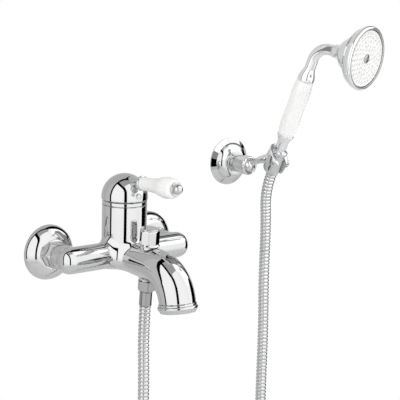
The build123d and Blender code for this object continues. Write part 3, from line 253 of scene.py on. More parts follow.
def gridFaces(rows, columns, wrap=True):
    # Quads of a grid whose rows run along the axis and whose columns run round it.
    i, j = np.meshgrid(np.arange(rows - 1), np.arange(columns if wrap else columns - 1), indexing="ij")
    k = (j + 1) % columns
    low, high = i * columns, (i + 1) * columns
    return np.stack([low + j, low + k, high + k, high + j], -1).reshape(-1, 4)


def meshFrom(name, verts, faces, mat, normals=None):
    mesh = bpy.data.meshes.new(name)
    verts = np.ascontiguousarray(verts, np.float64) * mm
    faces = np.ascontiguousarray(faces, np.int32)
    size = faces.shape[1]
    mesh.vertices.add(len(verts))
    mesh.vertices.foreach_set("co", verts.ravel())
    mesh.loops.add(faces.size)
    mesh.loops.foreach_set("vertex_index", faces.ravel())
    mesh.polygons.add(len(faces))
    mesh.polygons.foreach_set("loop_start", np.arange(0, faces.size, size, dtype=np.int32))
    mesh.polygons.foreach_set("use_smooth", np.ones(len(faces), bool))
    mesh.update(calc_edges=True)
    mesh.validate()
    if normals is not None:
        mesh.normals_split_custom_set_from_vertices(normals.tolist())
    mesh.materials.append(mat)
    return newObject(name, mesh)


def standFor(piece, node):
    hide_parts(node)
    return piece


def weldPoles(piece, gap=1e-7):
    work = bmesh.new()
    work.from_mesh(piece.data)
    bmesh.ops.remove_doubles(work, verts=work.verts, dist=gap)
    work.to_mesh(piece.data)
    work.free()
    piece.data.polygons.foreach_set("use_smooth", np.ones(len(piece.data.polygons), bool))
    piece.data.update()


def addPiece(node, verts, faces, rides, mat="chrome", normals=None, name=None):
    # Skin that takes the place of one CAD node and is named after it: trim_ring becomes trimRing.
    words = node.split("_")
    name = name or words[0] + "".join(word.capitalize() for word in words[1:])
    piece = meshFrom(name, verts, faces, mats[mat], normals)
    if normals is None:
        weldPoles(piece)
    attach(piece, rides)
    return standFor(piece, node)


def rounded(points, radius=0.35, support=0.12):
    # Polyline with each sharp corner turned into a small arc, with a support point on each side.
    points = np.asarray(points, float)
    out = [points[:1]]
    for before, here, after in zip(points, points[1:], points[2:]):
        a, b = before - here, after - here
        la, lb = np.linalg.norm(a), np.linalg.norm(b)
        a, b = a / la, b / lb
        bend = np.arccos(np.clip(-a @ b, -1, 1))
        if bend < 0.12:
            out.append(here[None])
            continue
        cut = min(radius * np.tan(bend / 2), 0.42 * la, 0.42 * lb)
        t = np.linspace(0, 1, 5)[:, None]
        arc = here + a * cut * (1 - t) ** 2 + b * cut * t**2
        pad = min(support, 0.05 * la + 0.02)
        padB = min(support, 0.05 * lb + 0.02)
        out.append(np.vstack([here + a * (cut + pad), arc, here + b * (cut + padB)]))
    out.append(points[-1:])
    return np.vstack(out)


def hermite(t, a, b, slopeA, slopeB):
    # Cubic from a to b that leaves and arrives with the given slopes.
    low, high = (2 * t**3 - 3 * t**2 + 1) * a, (3 * t**2 - 2 * t**3) * b
    return low + high + (t**3 - 2 * t**2 + t) * slopeA + (t**3 - t**2) * slopeB


def curveThrough(points, steps=12, first=None, last=None):
    # Hermite curve through the points, tangents from their neighbours, steps on each span.
    p = np.asarray(points, float)
    d = np.linalg.norm(np.diff(p, axis=0), axis=1)
    m = np.zeros_like(p)
    m[1:-1] = (
        (p[1:-1] - p[:-2]) / d[:-1, None] * d[1:, None] + (p[2:] - p[1:-1]) / d[1:, None] * d[:-1, None]
    ) / (d[:-1] + d[1:])[:, None]
    m[0] = unit(first) if first is not None else (p[1] - p[0]) / d[0] * 1.5 - m[1] * 0.5
    m[-1] = unit(last) if last is not None else (p[-1] - p[-2]) / d[-1] * 1.5 - m[-2] * 0.5
    t = np.linspace(0, 1, steps, endpoint=False)[None, :, None]
    m, span = m[:, None], d[:, None, None]
    line = hermite(t, p[:-1, None], p[1:, None], span * m[:-1], span * m[1:])
    return np.vstack([line.reshape(-1, 2), p[-1:]])


def arcPoints(centre, radius, start, end, steps=24):
    t = np.radians(np.linspace(start, end, steps))
    return np.column_stack([centre[0] + radius * np.cos(t), centre[1] + radius * np.sin(t)])


def arcThrough(a, b, c, steps=20):
    # Arc through three points of (radius, along).
    a, b, c = (np.asarray(p, float) for p in (a, b, c))
    m = 2 * np.array([b - a, c - a])
    centre = np.linalg.solve(m, [b @ b - a @ a, c @ c - a @ a])
    t0, t1, t2 = (np.arctan2(*(p - centre)[::-1]) for p in (a, b, c))
    turn = sum((x + np.pi) % (2 * np.pi) - np.pi for x in (t1 - t0, t2 - t1))
    t = t0 + np.linspace(0, 1, steps) * turn
    return centre + np.linalg.norm(a - centre) * np.column_stack([np.cos(t), np.sin(t)])


def lathe(node, place, profile, rides, ease=0.25, steps=144, mat="chrome", shape=None, drift=None):
    # Surface of revolution of (radius, along) with eased corners. The profile is a list of points and
    # runs of points. shape(turn, r, s) may change the radius round the axis, and drift(s) lifts the axis.
    profile = np.vstack(profile).astype(float)
    profile = rounded(profile, ease) if ease else profile
    profile = profile[np.r_[True, np.linalg.norm(np.diff(profile, axis=0), axis=1) > 1e-6]]
    closed = np.linalg.norm(profile[0] - profile[-1]) < 1e-6
    if closed:
        profile = profile[:-1]
    r, t = np.meshgrid(profile[:, 0], fullTurn(steps), indexing="ij")
    s = np.repeat(profile[:, 1:], steps, axis=1)
    if shape:
        r = shape(t, r, s)
    verts = inFrame(place, r, t, s)
    if drift:
        verts[..., 2] += drift(s)
    faces = gridFaces(len(profile), steps)
    if closed:
        j = np.arange(steps)
        k = (j + 1) % steps
        last = (len(profile) - 1) * steps
        faces = np.vstack([faces, np.column_stack([last + j, last + k, k, j])])
    x, y = profile[:, 0], profile[:, 1]
    if np.sum(x * np.roll(y, -1) - np.roll(x, -1) * y) < 0:
        faces = faces[:, ::-1]
    return addPiece(node, verts.reshape(-1, 3), faces, rides, mat)


def flatSides(sides, flats, soft, low=-np.inf, high=np.inf):
    # Radius of a regular polygon of that width across flats, its corners eased by a power mean,
    # from the station low to the station high.
    def shape(turn, r, s):
        angles = np.arange(sides) * 2 * np.pi / sides + np.pi / sides
        lift = np.clip(np.cos(turn[..., None] - angles), 0, None) ** soft
        edge = flats / 2 / lift.sum(-1) ** (1 / soft)
        return np.where((s > low) & (s < high), np.minimum(r, edge), r)
    return shape


# Directions shared by several pieces
tilt = np.radians(21.7)
facing = np.radians(8.5)
outward = np.array([np.sin(facing), -np.cos(facing), 0])
sideways = np.array([np.cos(facing), np.sin(facing), 0])
handleDir = outward * np.sin(tilt) + np.array([0, 0, np.cos(tilt)])
forward = outward * np.cos(tilt) - np.array([0, 0, np.sin(tilt)])
handleFoot = np.array([225.0, -69.4, 78.7])
handlePlace = axisFrame(handleFoot, handleDir, forward)

axisY = -55.0
slope = np.radians(2.0)
spout = {
    "start": np.array([0, axisY, -1.5]), "straight": 65.1, "bend": 43.2, "turn": np.radians(79.0), "rootR": 18.2,
    "endR": 22.0, "full": 0.8,
}
spoutAlong = np.array([0, -np.cos(slope), -np.sin(slope)])
spoutInner = np.array([0, np.sin(slope), -np.cos(slope)])
bendStart = spout["start"] + spoutAlong * spout["straight"]
bendCentre = bendStart + spoutInner * spout["bend"]
endShift = spoutAlong * np.sin(spout["turn"]) - spoutInner * np.cos(spout["turn"])
endDir = spoutAlong * np.cos(spout["turn"]) + spoutInner * np.sin(spout["turn"])
outlet = axisFrame(bendCentre + endShift * spout["bend"], endDir)
branchTilt = np.radians(4.2)
branchDir = np.array([0, -np.sin(branchTilt), np.cos(branchTilt)])
branchPoint = np.array([0, -103.2, -1.5 - 48.2 * np.tan(slope)])
branchPlace = axisFrame(branchPoint, branchDir)
downPlace = axisFrame(branchPoint, -branchDir)
barrelPlace = axisFrame((0, axisY, 0), (0, 0, 1))
leverTilt = np.radians(3.2)
leverPlace = axisFrame((0, axisY, 89.2), (0, -np.cos(leverTilt), np.sin(leverTilt)))

# Hose: route points in metres, the same as in the CAD part. The lower run hangs from the mixer in a
# loop and rises to the holder, the upper run goes on through it into the cone nut. The points at the
# mixer and at the cone nut are worked out from the two axes.
hoseStart = branchPoint - branchDir * 53.2
hose = {
    "lowerLength": 1.1455, "upperLength": 0.1083, "pitch": 4.8, "crest": 7.0, "root": 5.75, "sides": 28,
    "lower": [
        tuple(hoseStart * mm), tuple((hoseStart - branchDir * 40) * mm), (0.0005, -0.0988, -0.150),
        (0.0025, -0.095, -0.265), (-0.0025, -0.089, -0.380), (0.006, -0.082, -0.474), (0.054, -0.074, -0.539),
        (0.124, -0.067, -0.552), (0.193, -0.0605, -0.530), (0.2305, -0.0555, -0.463), (0.2385, -0.053, -0.362),
        (0.2335, -0.052, -0.250), (0.2355, -0.0515, -0.135), (0.2328, -0.0518, -0.062), (0.2331, -0.05215, -0.027),
    ],
    "upper": [
        (0.2331, -0.05215, -0.027), (0.2334, -0.0525, 0.008), tuple((handleFoot - handleDir * 26) * mm),
        (0.225, -0.0694, 0.0787),
    ],
}


def routePath(name, points, resolution=48):
    # Smooth NURBS line over the route's points, read back as a plain run of vertices.
    curve = bpy.data.curves.new(name, "CURVE")
    curve.dimensions = "3D"
    curve.resolution_u = resolution
    spline = curve.splines.new("NURBS")
    spline.points.add(len(points) - 1)
    spline.points.foreach_set("co", np.column_stack([np.array(points), np.ones(len(points))]).ravel())
    spline.order_u = 3
    spline.use_endpoint_u = True
    guide = bpy.data.objects.new(name, curve)
    line = bpy.data.meshes.new_from_object(guide)
    co = np.empty(len(line.vertices) * 3)
    line.vertices.foreach_get("co", co)
    bpy.data.meshes.remove(line)
    bpy.data.objects.remove(guide)
    bpy.data.curves.remove(curve)
    return co.reshape(-1, 3)


def evenly(path, distances):
    d = np.r_[0, np.cumsum(np.linalg.norm(np.diff(path, axis=0), axis=1))]
    return np.column_stack([np.interp(distances, d, path[:, i]) for i in range(3)])


def addHose(name, points, s):
    # Stripwound tube: radius = root + (crest - root) * bead(share of pitch), carried along the path.
    path = routePath(name + "Route", points)
    total = np.linalg.norm(np.diff(path, axis=0), axis=1).sum() / mm
    count = int(round(total / s["pitch"]))
    share = np.array([0.0, 0.12, 0.22, 0.4, 0.6, 0.78, 0.88])
    lift = np.array([0.0, 0.15, 0.85, 1.0, 1.0, 0.85, 0.15])
    at = ((np.arange(count)[:, None] + share) * total / count).ravel()
    radius = np.tile(s["root"] + (s["crest"] - s["root"]) * lift, count)
    at, radius = np.r_[at, total], np.r_[radius, s["root"]]
    centre = evenly(path, at * mm) / mm
    ahead, behind = (evenly(path, np.clip(at + step, 0, total) * mm) for step in (1.5, -1.5))
    tangent = unit(ahead - behind)
    side = unit(np.array([0, 1.0, 0]) - tangent * tangent[:, 1:2])
    sides = s["sides"]
    tube = sweep(centre, radius, side, np.cross(tangent, side), sides)
    verts = np.vstack([tube, centre[0], centre[-1]])
    j = np.arange(sides)
    k = (j + 1) % sides
    tip, last = len(at) * sides, (len(at) - 1) * sides
    first = np.column_stack([np.full(sides, tip), k, j])
    end = np.column_stack([np.full(sides, tip + 1), last + j, last + k])
    mesh = bpy.data.meshes.new(name)
    polygons = gridFaces(len(at), sides).tolist() + first.tolist() + end.tolist()
    mesh.from_pydata((verts * mm).tolist(), [], polygons)
    mesh.polygons.foreach_set("use_smooth", np.ones(len(mesh.polygons), bool))
    mesh.materials.append(mats["chrome"])
    mesh.update()
    print(name, "length", round(total, 1), "ribs", count)
    return newObject(name, mesh), path


hoseLower, lowerPath = addHose("hoseLower", hose["lower"], hose)
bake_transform(hoseLower)
standFor(hoseLower, "hose_lower")
hoseUpper, upperPath = addHose("hoseUpper", hose["upper"], hose)
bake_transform(hoseUpper)
standFor(hoseUpper, "hose_upper")
print("hose hung")


# Distance fields for the two castings: numbers over whole arrays, negative inside.
def roundUnion(a, b, k):
    # Union with a circular fillet of radius k.
    u, v = np.clip(k - a, 0, None), np.clip(k - b, 0, None)
    return np.maximum(k, np.minimum(a, b)) - np.sqrt(u * u + v * v)


def roundCut(a, b, k):
    # a without b, the edge rounded to radius k.
    return -roundUnion(-a, b, k)


def roundMeet(a, b, edge):
    # Distance to what lies inside both, the edge between them rounded. a and b are given edge too large.
    return np.minimum(np.maximum(a, b), 0) + np.hypot(np.clip(a, 0, None), np.clip(b, 0, None)) - edge


def cylinderField(p, place, radius, low, high, edge=0.5):
    # Distance to a capped cylinder between two stations on its axis, its edges rounded.
    origin, along = place[0], place[1]
    s = (p - origin) @ along
    r = np.linalg.norm(p - origin - s[..., None] * along, axis=-1)
    return roundMeet(r - radius + edge, np.abs(s - (low + high) / 2) - (high - low) / 2 + edge, edge)


def capsuleField(p, a, b, ra, rb):
    # Distance to a run whose radius goes from ra to rb.
    axis = b - a
    t = np.clip(((p - a) @ axis) / (axis @ axis), 0, 1)
    return np.linalg.norm(p - a - t[..., None] * axis, axis=-1) - (ra + (rb - ra) * t)


def surfaceNet(field, low, high, step):
    # One vertex in each cell that the surface crosses, quads over each crossed grid edge,
    # then three Newton steps onto the surface, all on whole arrays.
    axes3 = [np.arange(low[i], high[i] + step, step) for i in range(3)]
    shape = tuple(len(a) for a in axes3)
    values = np.empty(shape, np.float64)
    chunk = 16
    for i in range(0, shape[0], chunk):
        block = np.meshgrid(axes3[0][i:i + chunk], *axes3[1:], indexing="ij")
        values[i:i + chunk] = field(np.stack(block, -1))
    inside = values < 0
    cells = tuple(n - 1 for n in shape)
    weight = np.zeros(cells)
    total = np.zeros((*cells, 3))

    def corner(offset):
        return values[tuple(slice(o, cells[i] + o) for i, o in enumerate(offset))]

    for axis in range(3):
        for u, v in ((0, 0), (0, 1), (1, 0), (1, 1)):
            o = [0, 0, 0]
            o[(axis + 1) % 3], o[(axis + 2) % 3] = u, v
            e = list(o)
            e[axis] = 1
            a, b = corner(o), corner(e)
            crossed = (a < 0) != (b < 0)
            t = np.where(crossed, a / np.where(crossed, a - b, 1), 0)
            weight += crossed
            for k in range(3):
                total[..., k] += crossed * (t if k == axis else o[k])
    used = weight > 0
    index = np.full(cells, -1, np.int64)
    index[used] = np.arange(used.sum())
    ijk = np.argwhere(used)
    verts = (ijk + total[used] / weight[used][:, None]) * step + np.array([a[0] for a in axes3])
    faces = []
    for axis in range(3):
        n1, n2 = (axis + 1) % 3, (axis + 2) % 3
        take, ahead = [slice(1, -1)] * 3, [slice(1, -1)] * 3
        take[axis], ahead[axis] = slice(0, -1), slice(1, None)
        a, b = inside[tuple(take)], inside[tuple(ahead)]
        spots = np.argwhere(a != b)
        flip = a[tuple(spots.T)]
        base = spots + 1
        base[:, axis] -= 1
        quad = []
        for du, dv in ((0, 0), (1, 0), (1, 1), (0, 1)):
            cell = base.copy()
            cell[:, n1] -= du
            cell[:, n2] -= dv
            quad.append(index[tuple(cell.T)])
        quad = np.stack(quad, -1)
        quad[~flip] = quad[~flip][:, ::-1]
        faces.append(quad)
    faces = np.vstack(faces)
    for _ in range(3):
        d, g = fieldSlope(field, verts)
        verts = verts - np.clip(d, -step, step)[:, None] * g
    return verts, faces, fieldSlope(field, verts)[1]


def fieldSlope(field, p, h=0.05):
    d = field(p)
    g = np.stack([field(p + h * e) - field(p - h * e) for e in np.eye(3)], -1) / (2 * h)
    size = np.linalg.norm(g, axis=-1, keepdims=True)
    return d / np.clip(size[:, 0], 0.3, None), g / np.clip(size, 1e-6, None)


body = {
    "armX": 75.0, "armEnd": 78.5, "armR": 16.0, "endPower": 2.5, "barrelR": 27.4, "barrelTop": 60.8,
    "barrelFoot": -14.0, "footRound": 10.0, "armFillet": 9.0, "neckFillet": 7.0, "bossR": 15.5, "bossFront": 30.0,
    "bossEdge": 0.3, "bossFillet": 0.8, "branchFillet": 1.6, "chamberR": 17.6, "chamber": (14.0, 66.0),
    "collarR": 23.4, "collar": (44.0, 86.0), "chamberRound": 0.5, "spoutWall": 4.0, "spoutLip": 2.0,
    "spoutBoreTo": -92.0, "edge": 0.4, "step": 1.15,
    # radius, from and to along the axis of the branch, up for the knob and down for the hose
    "branchBoss": (11.0, 0.0, 21.5), "hoseBoss": (9.8, 0.0, 21.6), "branchBore": (8.0, -6.0, 26.0),
    "hoseBore": (8.2, 4.0, 26.0),
}


def spoutField(p, grow):
    # Distance to the spout: a tapered straight neck, then one bend. grow is added to its radius.
    length = spout["straight"] + spout["bend"] * spout["turn"]
    q = p - spout["start"]
    flat = np.clip(q @ spoutAlong, 0, spout["straight"])
    near = np.linalg.norm(q - flat[..., None] * spoutAlong, axis=-1)
    c = p - bendCentre
    u, v = c @ -spoutInner, c @ spoutAlong
    angle = np.clip(np.arctan2(v, u), 0, spout["turn"] + np.radians(30))
    ring = np.hypot(np.hypot(u, v) - spout["bend"], p[..., 0])
    onBend = (v > 0) & (angle > 0)
    dist = np.where(onBend, ring, near)
    at = np.where(onBend, spout["straight"] + spout["bend"] * angle, flat)
    share = np.minimum(1, at / (spout["full"] * length))
    d = dist - (spout["rootR"] + (spout["endR"] - spout["rootR"]) * share + grow)
    return np.maximum(d, (p - outlet[0]) @ outlet[1])


def slabField(p, span):
    # Distance to the slab between two heights.
    return np.abs(p[..., 2] - (span[0] + span[1]) / 2) - (span[1] - span[0]) / 2


def bodyField(p):
    b = body
    rb = np.hypot(p[..., 0], p[..., 1] - axisY)
    edge = b["footRound"]
    barrel = roundMeet(rb - (b["barrelR"] - edge), b["barrelFoot"] + edge - p[..., 2], edge)
    beyond = np.clip(np.abs(p[..., 0]) - b["armEnd"], 0, None)
    power = b["endPower"]
    arms = (beyond**power + np.hypot(p[..., 1] - axisY, p[..., 2]) ** power) ** (1 / power) - b["armR"]
    d = roundUnion(barrel, arms, b["armFillet"])
    d = roundUnion(d, spoutField(p, 0.0), b["neckFillet"])
    for way in (-1, 1):
        place = axisFrame((way * b["armX"], 0, 0), (0, -1, 0))
        boss = cylinderField(p, place, b["bossR"], b["bossFront"], -axisY, b["bossEdge"])
        d = roundUnion(d, boss, b["bossFillet"])
    for place, boss in ((branchPlace, b["branchBoss"]), (downPlace, b["hoseBoss"])):
        d = roundUnion(d, cylinderField(p, place, *boss, b["edge"]), b["branchFillet"])
    d = np.maximum(d, p[..., 2] - b["barrelTop"])
    chamber = np.maximum(rb - b["chamberR"], slabField(p, b["chamber"]))
    collar = np.maximum(rb - b["collarR"], slabField(p, b["collar"]))
    d = roundCut(d, np.minimum(chamber, collar), b["chamberRound"])
    for place, bore in ((branchPlace, b["branchBore"]), (downPlace, b["hoseBore"])):
        d = roundCut(d, cylinderField(p, place, *bore, b["edge"]), b["edge"])
    bore = spoutField(p - outlet[1] * b["spoutLip"], -b["spoutWall"])
    return roundCut(d, np.maximum(bore, p[..., 1] - b["spoutBoreTo"]), b["edge"])


def addCasting(name, node, field, low, high, step, rides):
    verts, faces, normals = surfaceNet(field, low, high, step)
    print(name, len(verts), "vertices", 2 * len(faces), "triangles")
    addPiece(node, verts, faces, rides, normals=normals, name=name)


addCasting("mixerBody", "mixer_body", bodyField, (-97, -196, -64), (97, -26, 64), body["step"], "root")
print("mixer body cast")

# Inlets: threaded union, wall rose, hexagon nut and nipple on each side
inlet = {
    "spacing": 150.0, "drop": -6.0, "rows": 76, "threadR": 10.46, "threadFrom": -19.0, "threadTo": -3.6,
    "threadPitch": 1.814, "threadDepth": 0.95, "threadFade": 1.5, "nutFlats": 30.0,
    "rose": {"r": 34.0, "rim": 2.5, "kneeR": 29.8, "kneeAt": 11.22, "depth": 17.0, "mouth": 17.92, "wall": 1.5},
}


def addUnion(word, place, s):
    # Radius = threadR less a saw-tooth that climbs one pitch on each turn. The neck drifts up to the nut's axis.
    teeth = np.linspace((s["threadR"], s["threadFrom"]), (s["threadR"], s["threadTo"]), s["rows"])
    profile = [
        (7, -20), (9.6, -20), (s["threadR"], -19.2), teeth, (10.0, -3.2), (10.0, 0.6), (12, 1.0), (12, 9.2),
        (13.2, 9.3), (13.2, 21.8), (12.8, 22.2), (7, 22.2), (7, -20),
    ]

    def thread(turn, r, along):
        phase = (along / s["threadPitch"] - turn / (2 * np.pi)) % 1
        cut = s["threadDepth"] * np.abs(2 * phase - 1) ** 1.3
        fade = np.clip((along + 19.6) / s["threadFade"], 0, 1) * np.clip((-3.4 - along) / s["threadFade"], 0, 1)
        return np.where(r > 9, r - cut * fade, r)

    def drift(along):
        return s["drop"] * (1 - np.clip((along - 1) / 8, 0, 1))

    lathe(f"{word}_union", place, profile, "root", 0, 96, "brass", shape=thread, drift=drift)


def roseProfile(s):
    w = s["wall"]
    outer = arcThrough((s["r"], s["rim"]), (s["kneeR"], s["kneeAt"]), (s["mouth"], s["depth"]), 40)
    inner = arcThrough((s["mouth"], s["depth"] - w), (s["kneeR"] - w, s["kneeAt"] - w), (s["r"] - w, s["rim"]), 30)
    return [(s["r"] - w, 0), (s["r"], 0), outer, inner, (s["r"] - w, 0)]


for word, way in (("left", -1), ("right", 1)):
    place = axisFrame((way * inlet["spacing"] / 2, 0, 0), (0, -1, 0))
    addUnion(word, place, inlet)
    lathe(f"{word}_rose", place, roseProfile(inlet["rose"]), "root", 0.5, 192)
    lathe(f"{word}_nut", place, [
        (8, 24), (8, 13), (15.6, 13), (17.3, 14.3), (17.3, 26.8), (15.6, 28.1), (8, 28.1), (8, 24),
    ], "root", steps=240, shape=flatSides(6, inlet["nutFlats"], 90))
    lathe(f"{word}_nipple", place, [
        (7, 24), (13, 24), (13, 26.4), (11.2, 26.4), (11.2, 28.3), (15.9, 28.3), (15.9, 30), (10.4, 30), (10.4, 40),
        (7, 40), (7, 24),
    ], "root", 0.3)
print("inlets done")

# Barrel top: ring, dome and index plug
top = {"capR": 28.3, "capFoot": 67.4, "capCentre": 70.0, "wall": 2.0, "plugAt": 74.0}
lathe("trim_ring", barrelPlace, [
    (22, 56), (22, 53), (23.4, 53), (23.4, 60.8), (25.2, 60.8), (25.2, 61.8), (27.1, 61.8), (27.4, 62.1),
    (27.4, 65.4), (26.2, 66.6), (22, 66.6), (22, 56),
], "root", steps=192)
capInner = top["capR"] - top["wall"]
lathe("dome_cap", barrelPlace, [
    arcPoints((0, top["capCentre"]), top["capR"], 90, 0, 72), (top["capR"], top["capFoot"]),
    (capInner, top["capFoot"]), arcPoints((0, top["capCentre"]), capInner, 0, 90, 30),
], "lever", 0.45, 192)
lathe("index_plug", axisFrame((0, axisY, top["plugAt"]), (0, -1, 0)), [
    (0, 25), (3.95, 25), (3.95, 28.1), (3.8, 28.6), (3.5, 28.6), (3.5, 26.4), (2.8, 26.4), (2.8, 28.4), (0, 28.7),
], "lever", 0.1, 64)

# Lever: chrome stalk, porcelain grip and end button
lever = {"stalkR": 6.6, "rimR": 9.2, "rimAt": 33.0, "gripFrom": 36.5, "gripTo": 98.0, "ballR": 6.2, "ballAt": 102.2}
gripFrom, gripTo = lever["gripFrom"], lever["gripTo"]
flare = curveThrough([(lever["stalkR"], 22), (7.1, 28), (lever["rimR"], lever["rimAt"])], 16, (0, 1), (1, 0.9))
lathe("lever_stalk", leverPlace, [
    (0, 12), (lever["stalkR"], 12), flare, (lever["rimR"], 35.7), (8.4, gripFrom), (0, gripFrom),
], "lever", 0.3)
swell = curveThrough([(7.8, gripFrom), (9.0, 61.5), (12.7, 87), (10.0, 97), (8.8, gripTo)], 20, (0.02, 1), (-1, 0.35))
lathe("lever_porcelain", leverPlace, [(0, gripFrom), swell, (0, gripTo)], "lever", 0.3, mat="porcelain")
lathe("lever_button", leverPlace, [
    (0, gripTo), (7.8, gripTo), (8.3, 98.6), (8.3, 99.8), (7.7, 100.4),
    arcPoints((0, lever["ballAt"]), lever["ballR"], -16.9, 90, 40),
], "lever")
print("lever done")

# Diverter: eight sided pull knob on its bonnet
knob = {"sides": 8, "cornerR": 12.2, "foot": 21.8, "flatFrom": 24.6, "top": 43.2}
knobFlats = 2 * knob["cornerR"] * np.cos(np.pi / knob["sides"])
lathe("diverter_knob", branchPlace, [
    (0, 35.8), (9.2, 35.8), (9.2, knob["foot"]), (12.8, knob["foot"]), (12.8, 22.6), (11.3, 24.4), (12.35, 25.2),
    (12.35, 39.2), (11.0, 41.0), (11.5, 42.4), (10.7, knob["top"]), (0, knob["top"]),
], "diverter", 0.3, 256, shape=flatSides(knob["sides"], knobFlats, 120, low=knob["flatFrom"]))
lathe("diverter_bonnet", branchPlace, [
    (3.05, 12), (3.05, 11.5), (7.9, 11.5), (7.9, 21.5), (8.6, 21.5), (8.6, 24.5), (3.05, 24.5), (3.05, 12),
], "root", steps=96)

# Outlet: ring with a bead, and the aerator's perforated face. Under the branch, the hose's nut and ferrule.
lathe("outlet_ring", outlet, [
    (15.05, 4), (15.05, -9), (17.9, -9), (17.9, 0), (22.3, 0), (22.9, 0.7), (22.9, 2.0),
    arcThrough((22.5, 2.5), (24.15, 4.1), (23.65, 6.5), 18),
    (20.8, 11), (16.5, 11), (16.5, 9.8), (15.05, 9.8), (15.05, 4),
], "root", steps=192)


def addDisc(node, place, r, turn, along, edge, rides, mat):
    # Front face over a grid of radius and turn, then rings of (radius, along) round the rim to the back.
    around = turn[0]
    rings = [inFrame(place, np.full(len(around), a), around, np.full(len(around), b)) for a, b in edge]
    verts = np.vstack([inFrame(place, r, turn, along).reshape(-1, 3), *rings])
    addPiece(node, verts, gridFaces(len(r) + len(edge), len(around))[:, ::-1], rides, mat)


def holedDisc(node, place, s, rides):
    # Along = front less a dimple at each hole: a countersink from sinkR to holeR, then a steep wall.
    radius, front = s["r"], s["front"]
    r, t = np.meshgrid(np.linspace(0, radius - 0.3, s["rows"]), fullTurn(s["columns"]), indexing="ij")
    low = np.zeros_like(r)
    for ringR, count in s["rings"]:
        step = 2 * np.pi / count
        nearest = np.round(t / step) * step
        gap = np.sqrt(r**2 + ringR**2 - 2 * r * ringR * np.cos(t - nearest))
        sink = s["sink"] * np.clip((s["sinkR"] - gap) / (s["sinkR"] - s["holeR"]), 0, 1)
        wall = smooth(np.clip((s["holeR"] - gap) / s["wall"], 0, 1))
        low = np.maximum(low, sink + (s["depth"] - s["sink"]) * wall)
    back = front - s["thick"]
    addDisc(node, place, r, t, front - low, [(radius, front - 0.3), (radius, back), (0, back)], rides, "plastic")


aerator = {
    "r": 15.0, "front": 9.8, "thick": 8.0, "rings": [(0, 1), (5.0, 8), (9.5, 16)], "holeR": 1.1, "sinkR": 1.3,
    "depth": 2.2, "sink": 0.35, "wall": 0.35, "rows": 56, "columns": 300,
}
holedDisc("aerator", outlet, aerator, "root")
# The hose nut and ferrule take the darker copy of chrome: painted shade under the branch.
lathe("hose_nut", downPlace, [
    (8.28, 24), (8.28, 21.8), (10.3, 21.8), (11.3, 22.7), (11.3, 33.2), (8.6, 34.4), (8.6, 35.2), (6.6, 35.2),
    (6.6, 33.6), (8.28, 33.6), (8.28, 24),
], "root", 0.25, 192, "shadedChrome", flatSides(6, 19.6, 90, high=34.0))
lathe("hose_ferrule", downPlace, [
    (3.3, 40), (3.3, 33.5), (6.45, 33.5), (6.45, 35.4), (7.2, 35.4), (7.7, 36), (7.7, 52.4), (7.3, 53.2), (4.4, 53.2),
    (4.4, 65.2), (3.3, 65.2), (3.3, 40),
], "root", 0.25, 96, "shadedChrome")
print("outlet done")

# Wall bracket: bevelled rose, stem and the ring nut that holds the ball
bracketPlace = axisFrame((210.6, 0, 86.0), (0, -1, 0))
lathe("bracket_rose", bracketPlace, [
    (29.5, 0), (31, 0), (31, 1.2), arcThrough((25, 6), (20.8, 11.4), (12.9, 14), 28), (12.9, 16), (9, 16),
    arcThrough((9, 12), (18.8, 9.2), (24.4, 4), 20), (29.5, 0.8), (29.5, 0),
], "root", 0.35, 192)
lathe("bracket_stem", bracketPlace, [
    (8.1, 10), (8.1, 3.2), (8.9, 3.2), (8.9, 16.05), (11.5, 16.05), (11.5, 32), (10.5, 32.6), (10.2, 32.6),
    (10.2, 40), (9.2, 40), (9.2, 31.2), (0, 31.2), (0, 18), (8.1, 18), (8.1, 10),
], "root")
lathe("ring_nut", bracketPlace, [
    (10.28, 36), (10.28, 32.8), (11.8, 32.8), (12.4, 33.4), arcThrough((12.4, 40.4), (11.6, 42.9), (10, 43.8), 18),
    (8.5, 43.8), (8.2, 43.5), (8.2, 41.6), (10.28, 40.4), (10.28, 36),
], "root")

# Holder: ball, curved arm and slotted cup in one casting
holder = {
    "ball": np.array([210.6, -41.0, 86.0]), "ballR": 8.6, "armRise": 32.0, "armRadii": (3.6, 3.7, 4.9, 6.5),
    "rootAt": 18.0, "rootIn": 3.7, "foot": 2.5, "footR": 10.6, "bellyAt": 14.0, "bellyR": 14.2, "topAt": 37.0,
    "topR": 13.2, "footRound": 0.8, "armFillet": 2.0, "frontAt": 20.0, "frontX": 12.2, "rimSlope": 0.7944,
    "rimScale": 1.277, "rimReach": 20.0, "rimRound": 0.7, "boreRound": 0.5, "slot": 7.5, "slotRound": 0.6,
    "boss": (6.4, 0.0, 14.6, 0.4), "bossFillet": 1.0, "screwHole": (2.55, 0.0, 20.0, 0.1), "screwRound": 0.3,
    "step": 0.62,
}
clampPlace = axisFrame(handleFoot + handleDir * holder["bellyAt"], sideways, forward)
backLeft = unit(-forward - sideways)
armRoot = handleFoot + handleDir * holder["rootAt"] + backLeft * (holder["bellyR"] - holder["rootIn"])
armRise = np.radians(holder["armRise"])
chord = np.linalg.norm(armRoot - holder["ball"])
armStart = np.array([0, -np.cos(armRise), np.sin(armRise)]) * chord * 1.1
armLine = hermite(np.linspace(0, 1, 26)[:, None], holder["ball"], armRoot, armStart, -backLeft * chord * 0.6)
armRadius = np.interp(np.linspace(0, 1, len(armLine)), (0, 0.35, 0.65, 1.0), holder["armRadii"])
cupPoints = [(holder[r], holder[at]) for r, at in (("footR", "foot"), ("bellyR", "bellyAt"), ("topR", "topAt"))]
cupOuter = np.vstack([curveThrough(cupPoints, 24, (1, 0.7), (-0.05, 1)), (13.0, 44)])
cupBore = np.array([(8.2, -4), (8.25, 2.5), (9.0, 27), (11.0, 31), (11.0, 44)])


